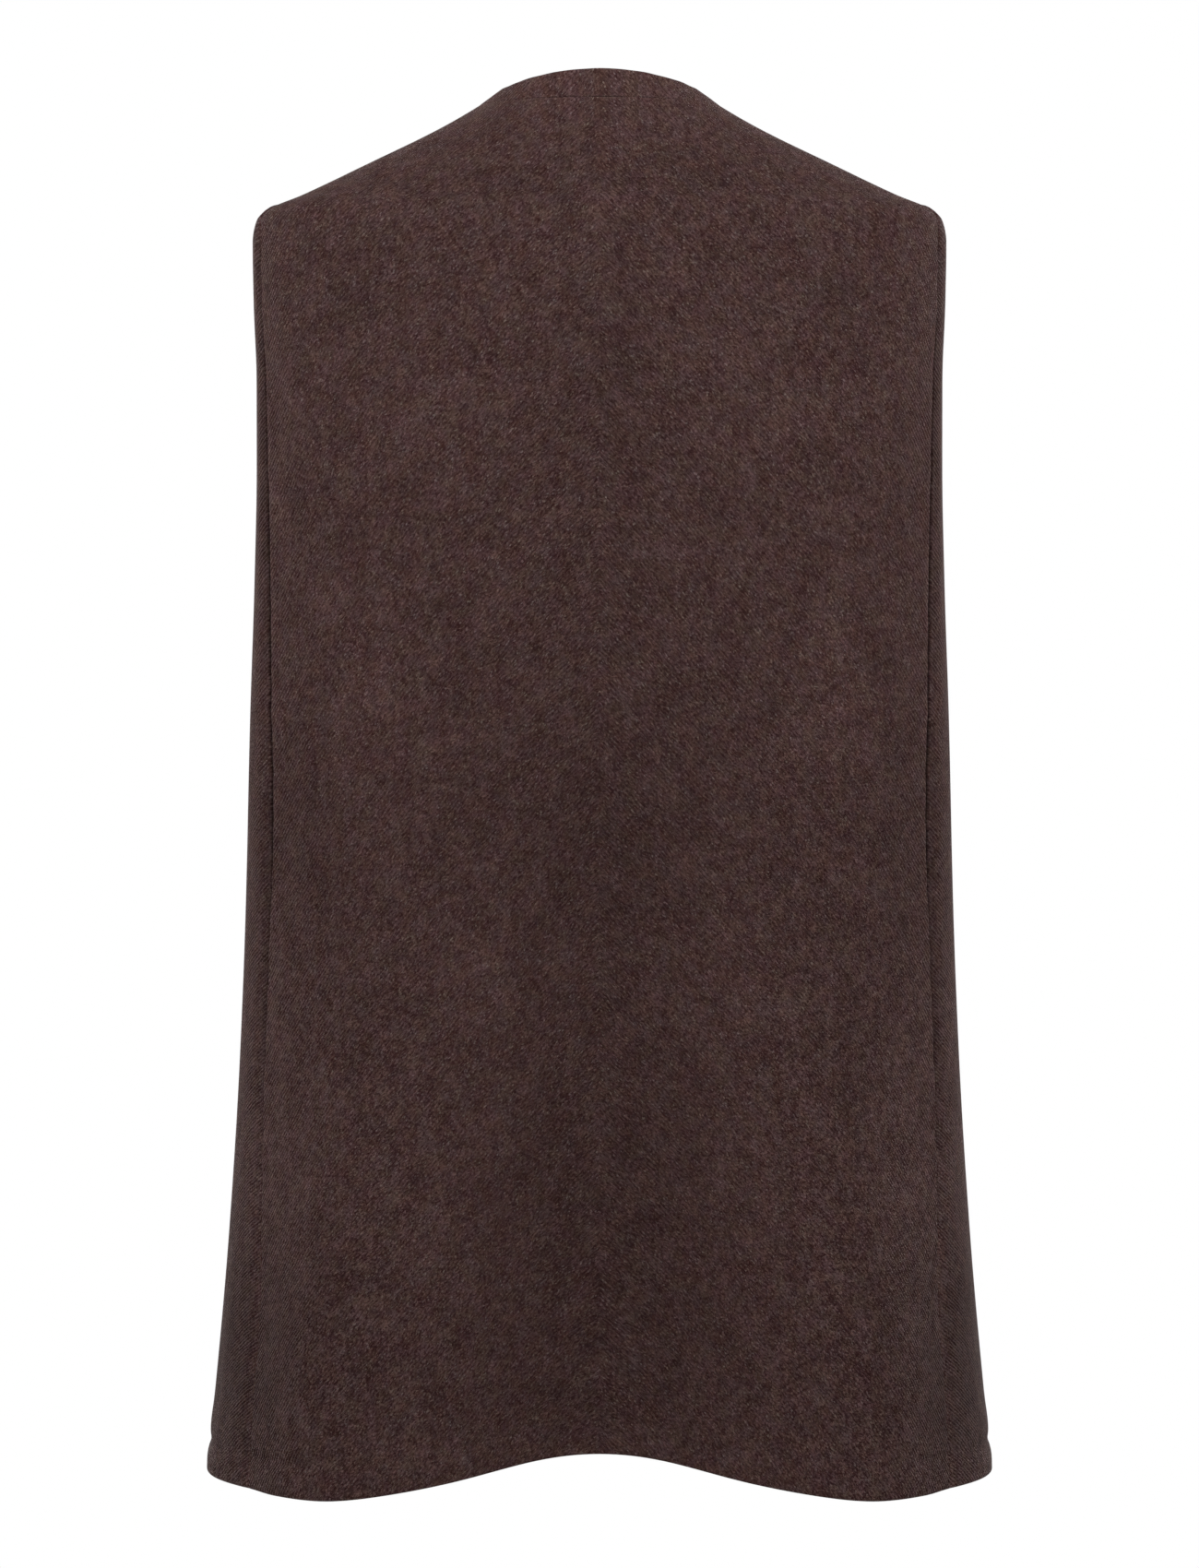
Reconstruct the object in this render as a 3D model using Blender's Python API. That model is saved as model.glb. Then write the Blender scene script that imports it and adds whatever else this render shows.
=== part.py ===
"""A sleeveless wool cape, as it hangs on the shoulders: four pieces of one heavy twill.

The cape is cut as one back panel and two fronts. A single long seam on each side joins them. It
runs along the shoulder, turns down over the shoulder tip and goes on to the hem, and a stretch of
it is left open as the slit for the arm. A narrow shaped band finishes the neck. The right front
laps over the left one at the centre front.

Frame: metres, +Z up, the wearer faces +Y and the wearer's right hand is at +X. The origin lies on
the middle plane, at the height where the side of the neck band meets the wearer's neck.

The form is a run of level rings. A ring is told by its distance, measured from the neck edge along
the shoulder and down the side. A place on a ring is told by its station: 0 at the centre back, 1 at
the side, 2 at the centre front, with even arc length between them. Stations under 0 are the
wearer's left, and stations past 2 or -2 run on round the front, which the laps use.
"""

import bpy
import numpy as np

MM = 0.001

WALL = 2.4  # heavy wool coating with its turned edges pressed flat
SEAM_GAP = 0.3  # between two panels at a closed seam
NECK_SEAM_GAP = 0.5  # along the shoulder; the rings lie closer together at the nape
LAP_HALF = 32.0  # the fronts run this far past the centre front
LAP_GAP = 0.8  # between the two fronts where they lap
LAP_EASE = 45.0  # a front leaves the common surface over this distance
SLIT_BACK_GIVE = 3.4  # the back's edge stands away from the open seam line
SLIT_FRONT_GIVE = 5.6  # the front's edge stands away from it on the other side
SLIT_CURL = 2.8  # the front's free edge rolls in by this much
SLIT_CURL_REACH = 13.0
DROP_POWER = 1.6  # how late the neckline falls towards the front
HEM_RISE = 19.8  # the hem is this much shorter to the eye in the middle of the back
HEM_RISE_WIDTH = 82.0
FOLD_KEEP_OFF = 40.0  # folds fade out within this distance of the middle plane, at the sides

# One row a ring, in millimetres: its half width and height at the side, its depths behind and in
# front of the middle plane, how far it is lifted at the centre back and dropped at the centre
# front, how square it is (2 is an ellipse), and the station of the long seam.
SECTION_COLUMNS = (
    "half_width", "height", "back_depth", "front_depth", "back_lift", "front_drop",
    "back_square", "front_square", "seam",
)
SECTIONS = (
    (58.5, 0.0, 56.0, 62.0, 7.5, 62.0, 2.00, 2.00, 1.050),  # neck edge
    (71.0, -7.5, 61.5, 70.0, -1.0, 68.5, 2.00, 2.00, 1.050),  # neck seam
    (93.5, -19.4, 66.5, 77.5, -2.0, 71.5, 1.96, 1.98, 1.050),
    (133.6, -38.9, 73.0, 86.0, -1.0, 74.0, 1.95, 1.96, 1.045),
    (173.7, -58.0, 79.5, 94.0, 0.0, 75.5, 1.98, 1.97, 1.030),
    (190.5, -65.2, 82.0, 97.0, 0.0, 75.5, 2.02, 1.99, 0.980),  # shoulder tip
    (198.6, -72.0, 84.8, 99.5, 0.0, 74.0, 2.08, 2.02, 0.920),
    (200.9, -84.0, 88.3, 102.5, 0.0, 71.0, 2.16, 2.06, 0.893),
    (200.2, -120.0, 97.0, 109.5, 0.0, 60.0, 2.30, 2.12, 0.873),
    (198.4, -165.0, 103.8, 115.0, 0.0, 40.0, 2.42, 2.17, 0.850),
    (198.3, -215.0, 107.5, 118.0, 0.0, 20.0, 2.42, 2.20, 0.835),  # shoulder blades
    (199.7, -280.0, 108.5, 119.5, 0.0, 6.0, 2.20, 2.20, 0.832),
    (202.4, -360.0, 107.0, 120.5, 0.0, 0.0, 2.00, 2.15, 0.831),  # waist
    (205.0, -470.0, 108.0, 122.0, 0.0, 0.0, 1.90, 2.10, 0.826),
    (208.5, -560.0, 116.0, 125.0, 0.0, 0.0, 1.95, 2.10, 0.812),
    (214.3, -655.0, 131.0, 129.5, 0.0, 0.0, 2.10, 2.15, 0.758),
    (221.5, -740.0, 145.0, 133.5, 0.0, 0.0, 2.25, 2.20, 0.712),
    (226.8, -793.5, 150.0, 136.0, 0.0, 0.0, 2.30, 2.20, 0.690),  # hem
)

# One row a fold, in millimetres: back (-1) or front (+1), where it starts and where it meets the
# hem, its half width at both ends, how far it stands out at the hem, and how late it grows.
FOLD_COLUMNS = ("facing", "top_x", "top_z", "hem_x", "top_width", "hem_width", "depth", "growth")
FOLDS = (
    (-1, 0.0, -250.0, 0.0, 60.0, 95.0, -55.0, 1.35),  # the hollow down the centre back
    (-1, 112.0, -330.0, 155.0, 36.0, 42.0, 28.0, 1.20),  # the flutes beside it
    (1, 85.0, -260.0, 132.0, 36.0, 52.0, 9.0, 1.20),  # the fall from the bust
)

# The open stretch of the long seam: height, and how far open it is from 0 to 1.
SLIT_OPENNESS = ((-128.0, 0.0), (-164.0, 1.0), (-250.0, 1.0), (-400.0, 0.6), (-478.0, 0.0))

# How finely the pieces are cut up: rings of the yoke, round the shoulder tip and down the fall,
# columns of a back and a front, of a front's lap, and rings of the neck band.
YOKE_RINGS = 5
TIP_RINGS = 8
FALL_RINGS = 16
BACK_COLUMNS = 26
FRONT_COLUMNS = 19
LAP_COLUMNS = 4
BAND_RINGS = 2
RING_SAMPLES = 241  # along each quarter of a ring, to measure its arc
NUDGE = 0.4  # the step that a normal is taken over

CLOTH_COLOUR = (0.0560, 0.0331, 0.0305, 1.0)
CLOTH_ROUGHNESS = 0.92


def smooth(knots, values, at):
    """Monotone cubic through values at knots: it never swings past two neighbouring values."""
    step = np.diff(knots)[:, None]
    slope = np.diff(values, axis=0) / step
    weight_a = 2 * step[1:] + step[:-1]
    weight_b = step[1:] + 2 * step[:-1]
    turns = slope[:-1] * slope[1:] <= 0
    safe = np.where(turns, 1.0, slope[:-1]), np.where(turns, 1.0, slope[1:])
    middle = (weight_a + weight_b) / (weight_a / safe[0] + weight_b / safe[1])
    tangent = np.vstack([slope[:1], np.where(turns, 0.0, middle), slope[-1:]])
    i = np.clip(np.searchsorted(knots, at) - 1, 0, len(knots) - 2)
    span = step[i]
    s = (np.asarray(at, float)[:, None] - knots[i][:, None]) / span
    return (
        values[i] * (1 + 2 * s) * (1 - s) ** 2
        + tangent[i] * span * s * (1 - s) ** 2
        + values[i + 1] * s * s * (3 - 2 * s)
        + tangent[i + 1] * span * s * s * (s - 1)
    )


def bell(x):
    """1 at 0, falling softly to nothing past 2."""
    return np.exp(-x * x)


def ramp(x):
    """0 below 0, 1 above 1, with no kink at either end."""
    x = np.clip(x, 0.0, 1.0)
    return x * x * (3 - 2 * x)


SECTION_VALUES = np.array(SECTIONS)
SIDE_STEPS = np.hypot(np.diff(SECTION_VALUES[:, 0]), np.diff(SECTION_VALUES[:, 1]))
SECTION_DISTANCES = np.concatenate([[0.0], np.cumsum(SIDE_STEPS)])
NECK_SEAM = SECTION_DISTANCES[1]
ABOVE_TIP = SECTION_DISTANCES[4]
BELOW_TIP = SECTION_DISTANCES[7]
HEM = SECTION_DISTANCES[-1]
HEM_HEIGHT = SECTION_VALUES[-1, 1]


def section(distances):
    """The section table's columns at these distances, each as a column of its own."""
    values = smooth(SECTION_DISTANCES, SECTION_VALUES, distances)
    return {name: values[:, [k]] for k, name in enumerate(SECTION_COLUMNS)}


def half_rings(distances):
    """The wearer's right half of each ring, from centre back to centre front.

    Each half is a quarter of a superellipse behind the middle plane and another in front of it,
    pushed in or out by the folds. Returns x, y, z, the station of each sample, and the arc lengths
    of the back and the front quarter.
    """
    s = section(distances)
    turn = np.linspace(0.0, np.pi / 2, RING_SAMPLES)[None, :]
    wide_b = s["half_width"] * np.sin(turn) ** (2 / s["back_square"])
    deep_b = s["back_depth"] * np.cos(turn) ** (2 / s["back_square"])
    wide_f = s["half_width"] * np.cos(turn) ** (2 / s["front_square"])
    deep_f = s["front_depth"] * np.sin(turn) ** (2 / s["front_square"])
    x = np.hstack([wide_b, wide_f[:, 1:]])
    y = np.hstack([-deep_b, deep_f[:, 1:]])
    behind = np.arange(x.shape[1])[None, :] < RING_SAMPLES
    depth = np.where(behind, s["back_depth"], s["front_depth"])
    share = np.abs(y) / depth
    z = s["height"] + np.where(
        behind, s["back_lift"] * share**2, -s["front_drop"] * share**DROP_POWER
    )
    clear = ramp(np.abs(y) / FOLD_KEEP_OFF)
    push = np.zeros_like(y)
    rise = np.zeros_like(z)
    for row in FOLDS:
        fold = dict(zip(FOLD_COLUMNS, row))
        down = np.clip((fold["top_z"] - z) / (fold["top_z"] - HEM_HEIGHT), 0.0, 1.0)
        middle = fold["top_x"] + (fold["hem_x"] - fold["top_x"]) * down
        width = fold["top_width"] + (fold["hem_width"] - fold["top_width"]) * down
        grown = down ** fold["growth"] * (behind if fold["facing"] < 0 else ~behind)
        push += fold["facing"] * fold["depth"] * grown * bell((x - middle) / width) * clear
        if fold["hem_x"] == 0.0:
            rise += HEM_RISE * grown * bell(x / HEM_RISE_WIDTH)
    y = y + push
    z = z + rise
    arc = np.hstack(
        [np.zeros((len(x), 1)), np.cumsum(np.hypot(np.diff(x, axis=1), np.diff(y, axis=1)), axis=1)]
    )
    back_arc = arc[:, [RING_SAMPLES - 1]]
    front_arc = arc[:, [-1]] - back_arc
    station = np.where(arc <= back_arc, arc / back_arc, 1 + (arc - back_arc) / front_arc)
    return x, y, z, station, back_arc, front_arc


def points(distances, stations):
    """Points of the common surface, with one row of stations for each distance."""
    x, y, z, station, _, _ = half_rings(distances)
    size = np.abs(stations)
    past_front = size > 2
    size = np.where(past_front, 4 - size, size)
    side = np.where(stations < 0, -1.0, 1.0) * np.where(past_front, -1.0, 1.0)
    rings = range(len(stations))
    across = np.stack([np.interp(size[i], station[i], x[i]) for i in rings])
    along = np.stack([np.interp(size[i], station[i], y[i]) for i in rings])
    height = np.stack([np.interp(size[i], station[i], z[i]) for i in rings])
    return np.stack([across * side, along, height], axis=-1)


def normals(distances, stations):
    """Outward unit normals of the common surface, by a small step each way."""
    turn = NUDGE / half_rings(distances)[4]
    around = points(distances, stations + turn) - points(distances, stations - turn)
    lower = points(np.minimum(distances + NUDGE, HEM), stations)
    down = lower - points(np.maximum(distances - NUDGE, 0.0), stations)
    normal = np.cross(down, around)
    return normal / np.linalg.norm(normal, axis=-1, keepdims=True)


def arcs(distances):
    """The arc lengths of each ring's back quarter and front quarter."""
    return half_rings(distances)[4:]


def openness(distances):
    """How far open the long seam is at these rings, from 0 to 1."""
    heights, amounts = np.array(SLIT_OPENNESS).T
    at = section(distances)["height"][:, 0]
    inside = (at < heights[0]) & (at > heights[-1])
    amount = smooth(-heights, amounts[:, None], np.clip(-at, -heights[0], -heights[-1]))
    return np.where(inside[:, None], amount, 0.0)


def seam_slant(distances):
    """How much longer a gap is along a ring than straight across the long seam."""
    seam = section(distances)["seam"]
    along = np.gradient(points(distances, seam)[:, 0], distances, axis=0)
    turn = NUDGE / arcs(distances)[0]
    around = (points(distances, seam + turn) - points(distances, seam - turn))[:, 0]
    across = np.linalg.norm(np.cross(along, around), axis=-1)
    return (np.linalg.norm(along, axis=-1) * np.linalg.norm(around, axis=-1) / across)[:, None]


def back_stations(distances):
    """Stations of the back panel's columns, from the left seam to the right one."""
    edge_gap = SEAM_GAP / 2 * seam_slant(distances) + SLIT_BACK_GIVE * openness(distances)
    edge = section(distances)["seam"] - edge_gap / arcs(distances)[0]
    return edge * np.linspace(-1.0, 1.0, BACK_COLUMNS + 1)[None, :]


def front_stations(distances):
    """Stations of a front's columns, from the long seam to its free edge past the centre."""
    back_arc, front_arc = arcs(distances)
    edge_gap = SEAM_GAP / 2 * seam_slant(distances) + SLIT_FRONT_GIVE * openness(distances)
    edge = section(distances)["seam"] + edge_gap / back_arc
    lap = LAP_HALF / front_arc
    across = np.linspace(0.0, 1.0, FRONT_COLUMNS + 1)[None, :-1]
    over = np.linspace(-1.0, 1.0, LAP_COLUMNS + 1)[None, :]
    return np.hstack([edge + (2 - lap - edge) * across, 2 + lap * over])


def lap_offset(distances, stations):
    """How far a front that lies on top stands off the common surface."""
    from_centre = np.abs(2 - np.abs(stations)) * arcs(distances)[1]
    away = ramp((LAP_HALF + LAP_EASE - from_centre) / LAP_EASE)
    return (WALL + LAP_GAP) / 2 * away


def curl_offset(distances, stations):
    """How far the front's free edge rolls in along the slit."""
    from_edge = (stations - stations[:, [0]]) * arcs(distances)[0]
    return -SLIT_CURL * openness(distances) * bell(from_edge / SLIT_CURL_REACH)


def cloth_solid(name, distances, stations, offset, material):
    """One closed wall of cloth: an outer face, an inner face, and a rim all round.

    The outer face is the common surface moved out by offset. The inner face lies one wall inside
    it. Rows of the grid run down the panel and columns run from the wearer's left to the right.
    """
    base = points(distances, stations)
    normal = normals(distances, stations)
    outer = base + normal * offset[..., None]
    inner = outer - normal * WALL
    rows, columns = stations.shape
    index = np.arange(rows * columns).reshape(rows, columns)
    inside = index + rows * columns
    on_left = (base[:-1, :-1, 0] + base[1:, 1:, 0] < 0).reshape(-1, 1)

    def quads(a, b, c, d):
        return np.stack([a, b, c, d], axis=-1).reshape(-1, 4)

    def mirrored_quads(a, b, c, d):
        """Quads whose first corner moves on by one on the left half, so both halves split alike."""
        return np.where(on_left, quads(d, a, b, c), quads(a, b, c, d))

    faces = np.vstack([
        mirrored_quads(index[:-1, :-1], index[1:, :-1], index[1:, 1:], index[:-1, 1:]),
        mirrored_quads(inside[:-1, :-1], inside[:-1, 1:], inside[1:, 1:], inside[1:, :-1]),
        quads(index[0, :-1], index[0, 1:], inside[0, 1:], inside[0, :-1]),
        quads(index[-1, 1:], index[-1, :-1], inside[-1, :-1], inside[-1, 1:]),
        quads(index[:-1, 0], inside[:-1, 0], inside[1:, 0], index[1:, 0]),
        quads(index[:-1, -1], index[1:, -1], inside[1:, -1], inside[:-1, -1]),
    ])
    mesh = bpy.data.meshes.new(name)
    vertices = np.vstack([outer.reshape(-1, 3), inner.reshape(-1, 3)]) * MM
    mesh.from_pydata(vertices.tolist(), [], faces.tolist())
    mesh.materials.append(material)
    mesh.shade_smooth()
    piece = bpy.data.objects.new(name, mesh)
    bpy.context.scene.collection.objects.link(piece)
    return piece


def panel_distances():
    """Rings of the long panels: even along the shoulder, close round its tip, even down the fall."""
    start = NECK_SEAM + NECK_SEAM_GAP / 2
    yoke = np.linspace(start, ABOVE_TIP, YOKE_RINGS + 1)[:-1]
    tip = np.linspace(ABOVE_TIP, BELOW_TIP, TIP_RINGS + 1)[:-1]
    fall = np.linspace(BELOW_TIP, HEM, FALL_RINGS + 1)
    return np.concatenate([yoke, tip, fall])


def build_back(cloth):
    """The back panel, from neck seam to hem and from one long seam to the other."""
    distances = panel_distances()
    stations = back_stations(distances)
    return cloth_solid("back", distances, stations, np.zeros_like(stations), cloth)


def build_front(name, side, cloth):
    """A front, with side +1 for the wearer's right, which laps over the left."""
    distances = panel_distances()
    stations = front_stations(distances)
    offset = side * lap_offset(distances, stations) + curl_offset(distances, stations)
    if side < 0:
        stations = -stations[:, ::-1]
        offset = offset[:, ::-1]
    return cloth_solid(name, distances, stations, offset, cloth)


def build_neck_band(cloth):
    """The band round the neck, which laps with the fronts. Its columns follow the panels'."""
    distances = np.linspace(0.0, NECK_SEAM - NECK_SEAM_GAP / 2, BAND_RINGS + 1)
    right = front_stations(distances)
    stations = np.hstack([-right[:, ::-1], back_stations(distances)[:, 1:-1], right])
    offset = np.sign(stations) * lap_offset(distances, stations)
    return cloth_solid("neck_band", distances, stations, offset, cloth)


def wool():
    """The heavy brown twill that every piece is cut from."""
    material = bpy.data.materials.new("brown_wool")
    material.use_nodes = True
    shader = material.node_tree.nodes["Principled BSDF"]
    shader.inputs["Base Color"].default_value = CLOTH_COLOUR
    shader.inputs["Roughness"].default_value = CLOTH_ROUGHNESS
    shader.inputs["Metallic"].default_value = 0.0
    return material


def main():
    """Clear the scene and build the four pieces, each with a material of its own."""
    for leftover in list(bpy.data.objects):
        bpy.data.objects.remove(leftover)
    build_back(wool())
    build_front("front_right", 1, wool())
    build_front("front_left", -1, wool())
    build_neck_band(wool())


main()
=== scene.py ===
"""The looks of a sleeveless wool cape, in the shape it takes when it is worn.

Four pieces of one heavy, napped twill stand for the four solids of the frame: the back, the two
fronts and the neck band. Each is a thin closed wall on its solid's own form, cut finer, with its
edges rolled, its allowances turned in, its hem turned up and its soft creases laid in.

Sizes are in millimetres until a mesh is made. The wearer faces +Y and +X is the wearer's right.
"""

import logging
import math
from dataclasses import dataclass
from enum import Enum
from typing import Any, ClassVar, Sequence, Union

import bpy
import numpy as np
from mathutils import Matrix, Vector


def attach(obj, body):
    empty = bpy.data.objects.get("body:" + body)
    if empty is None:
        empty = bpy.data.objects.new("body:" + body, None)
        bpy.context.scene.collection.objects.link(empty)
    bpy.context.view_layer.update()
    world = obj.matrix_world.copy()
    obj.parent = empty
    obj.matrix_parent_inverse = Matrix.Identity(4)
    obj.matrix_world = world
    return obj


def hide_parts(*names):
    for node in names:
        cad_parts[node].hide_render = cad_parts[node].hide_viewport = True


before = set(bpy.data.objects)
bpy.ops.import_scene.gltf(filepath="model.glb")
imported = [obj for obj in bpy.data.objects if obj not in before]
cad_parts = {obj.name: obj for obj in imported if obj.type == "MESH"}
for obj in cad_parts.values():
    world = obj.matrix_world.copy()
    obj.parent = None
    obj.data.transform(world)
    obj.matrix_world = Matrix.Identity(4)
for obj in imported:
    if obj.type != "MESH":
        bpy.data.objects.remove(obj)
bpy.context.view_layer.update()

Array = np.ndarray
log = logging.getLogger("cape")

MM = 0.001
BODY = "root"


def bell(x: Array) -> Array:
    """1 at 0 and almost nothing past 2 either way: exp(-x squared)."""
    return np.exp(-np.square(x))


def ramp(x: Array) -> Array:
    """0 below 0, 1 above 1, with no kink at either end: 3x squared less 2x cubed."""
    x = np.clip(x, 0.0, 1.0)
    return x * x * (3 - 2 * x)


def smooth(knots: Array, values: Array, at: Array) -> Array:
    """Runs a monotone cubic through the values, which never swings past two neighbours.

    Each span is a Hermite cubic. Its slopes are the harmonic means of the neighbouring spans'
    slopes, or 0 where they turn.

    Args:
        knots: where the values are given, rising.
        values: one row for each knot.
        at: where the curve is wanted.

    Returns:
        One row for each place in at.
    """
    step = np.diff(knots)[:, None]
    slope = np.diff(values, axis=0) / step
    weight_a = 2 * step[1:] + step[:-1]
    weight_b = step[1:] + 2 * step[:-1]
    turns = slope[:-1] * slope[1:] <= 0
    safe = np.where(turns, 1.0, slope[:-1]), np.where(turns, 1.0, slope[1:])
    middle = (weight_a + weight_b) / (weight_a / safe[0] + weight_b / safe[1])
    tangent = np.vstack([slope[:1], np.where(turns, 0.0, middle), slope[-1:]])
    i = np.clip(np.searchsorted(knots, at) - 1, 0, len(knots) - 2)
    span = step[i]
    s = (np.asarray(at, float)[:, None] - knots[i][:, None]) / span
    return (
        values[i] * (1 + 2 * s) * (1 - s) ** 2
        + tangent[i] * span * s * (1 - s) ** 2
        + values[i + 1] * s * s * (3 - 2 * s)
        + tangent[i + 1] * span * s * s * (s - 1)
    )


@dataclass(frozen=True)
class Fade:
    """A soft change from 0 at its start to 1 a length further on, or further back if negative."""

    start: float
    length: float

    def at(self, value: Array) -> Array:
        """A ramp of the share run: (value - start) / length."""
        return ramp((value - self.start) / self.length)


@dataclass(frozen=True)
class Ridge:
    """A soft rise, or a dip if its height is negative, along a line at some place."""

    height: float
    place: float
    reach: float

    def at(self, value: Array) -> Array:
        """The height times a bell of (value - place) / reach."""
        return self.height * bell((value - self.place) / self.reach)


class Face(Enum):
    """Which half of the cape a fold or crease lies in."""

    BACK = -1
    FRONT = 1


class Hand(Enum):
    """A side of the wearer: the right front laps over the left one."""

    LEFT = -1
    RIGHT = 1


@dataclass(frozen=True)
class Fold:
    """A large fold that grows down the cape and pushes the cloth out (or in, if negative)."""

    face: Face
    top_x: float
    top_z: float
    hem_x: float
    top_width: float
    hem_width: float
    depth: float
    growth: float


@dataclass(frozen=True)
class Crease:
    """A soft ridge, or a trough if its height is negative, from one place of the cloth to another.

    Places are (x, z). bow bends the line sideways, and both says that the other side of the
    middle has one like it. Past both its ends the crease runs out over a short way.
    """

    RUN_OUT: ClassVar[float] = 0.15
    RUN_IN: ClassVar[float] = 0.30

    face: Face
    start: tuple[float, float]
    end: tuple[float, float]
    width: float
    height: float
    bow: float = 0.0
    both: bool = False

    def relief(self, x: Array, z: Array) -> Array:
        """Works out how far the crease moves the cloth.

        Across its line the crease is a bell. It rises over a share of its length at the start and
        falls over as much at the end, and its line bows by bow times the sine of pi times the
        share run.

        Args:
            x: sideways place of each point.
            z: height of each point.

        Returns:
            The move of each point along its normal.
        """
        total = self._one(x, z)
        return total + self._one(-x, z) if self.both else total

    def _one(self, x: Array, z: Array) -> Array:
        """Works out the crease on its own side of the middle.

        Args:
            x: sideways place of each point.
            z: height of each point.

        Returns:
            The height times the ramps of both ends times the bell across the line.
        """
        run = np.subtract(self.end, self.start)
        length = float(np.hypot(*run))
        along = ((x - self.start[0]) * run[0] + (z - self.start[1]) * run[1]) / length**2
        across = ((x - self.start[0]) * run[1] - (z - self.start[1]) * run[0]) / length
        across = across - self.bow * np.sin(math.pi * np.clip(along, 0.0, 1.0))
        swell = self.RUN_OUT + self.RUN_IN
        ends = ramp((along + self.RUN_OUT) / swell) * ramp((1 + self.RUN_OUT - along) / swell)
        return self.height * ends * bell(across / self.width)


SECTION_COLUMNS = (
    "half_width", "height", "back_depth", "front_depth", "back_lift", "front_drop",
    "back_square", "front_square", "seam",
)
SECTIONS = (
    (58.5, 1.9, 56.0, 62.0, 7.7, 63.9, 2.00, 2.00, 1.050),  # neck edge
    (71.0, -6.6, 61.5, 70.0, -1.0, 69.4, 2.00, 2.00, 1.050),  # neck seam
    (93.5, -19.4, 66.5, 77.5, -2.0, 71.5, 1.96, 1.98, 1.050),
    (133.6, -38.9, 73.0, 86.0, -1.0, 74.0, 1.95, 1.96, 1.045),
    (173.7, -58.0, 79.5, 94.0, 0.0, 75.5, 1.98, 1.97, 1.030),
    (190.5, -65.2, 82.0, 97.0, 0.0, 75.5, 2.02, 1.99, 0.980),  # shoulder tip
    (198.6, -72.0, 84.8, 99.5, 0.0, 74.0, 2.08, 2.02, 0.920),
    (200.9, -84.0, 88.3, 102.5, 0.0, 71.0, 2.16, 2.06, 0.893),
    (200.2, -120.0, 97.0, 109.5, 0.0, 60.0, 2.30, 2.12, 0.873),
    (198.4, -165.0, 103.8, 115.0, 0.0, 40.0, 2.42, 2.17, 0.850),
    (198.3, -215.0, 107.5, 118.0, 0.0, 20.0, 2.42, 2.20, 0.835),  # shoulder blades
    (199.7, -280.0, 108.5, 119.5, 0.0, 6.0, 2.20, 2.20, 0.832),
    (202.4, -360.0, 107.0, 120.5, 0.0, 0.0, 2.00, 2.15, 0.831),  # waist
    (205.0, -470.0, 108.0, 122.0, 0.0, 0.0, 1.90, 2.10, 0.826),
    (208.5, -560.0, 116.0, 125.0, 0.0, 0.0, 1.95, 2.10, 0.812),
    (214.3, -655.0, 131.0, 129.5, 0.0, 0.0, 2.10, 2.15, 0.758),
    (221.5, -740.0, 145.0, 133.5, 0.0, 0.0, 2.25, 2.20, 0.712),
    (226.8, -793.5, 150.0, 136.0, 0.0, 0.0, 2.30, 2.20, 0.690),  # hem
)
NECK_SEAM_ROW, ABOVE_TIP_ROW, TIP_ROW, BELOW_TIP_ROW = 1, 4, 5, 7

FOLDS = (
    Fold(Face.BACK, 0.0, -250.0, 0.0, 60.0, 95.0, -55.0, 1.35),
    Fold(Face.BACK, 112.0, -330.0, 155.0, 36.0, 42.0, 28.0, 1.20),
    Fold(Face.FRONT, 85.0, -260.0, 132.0, 36.0, 52.0, 9.0, 1.20),
)

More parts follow.
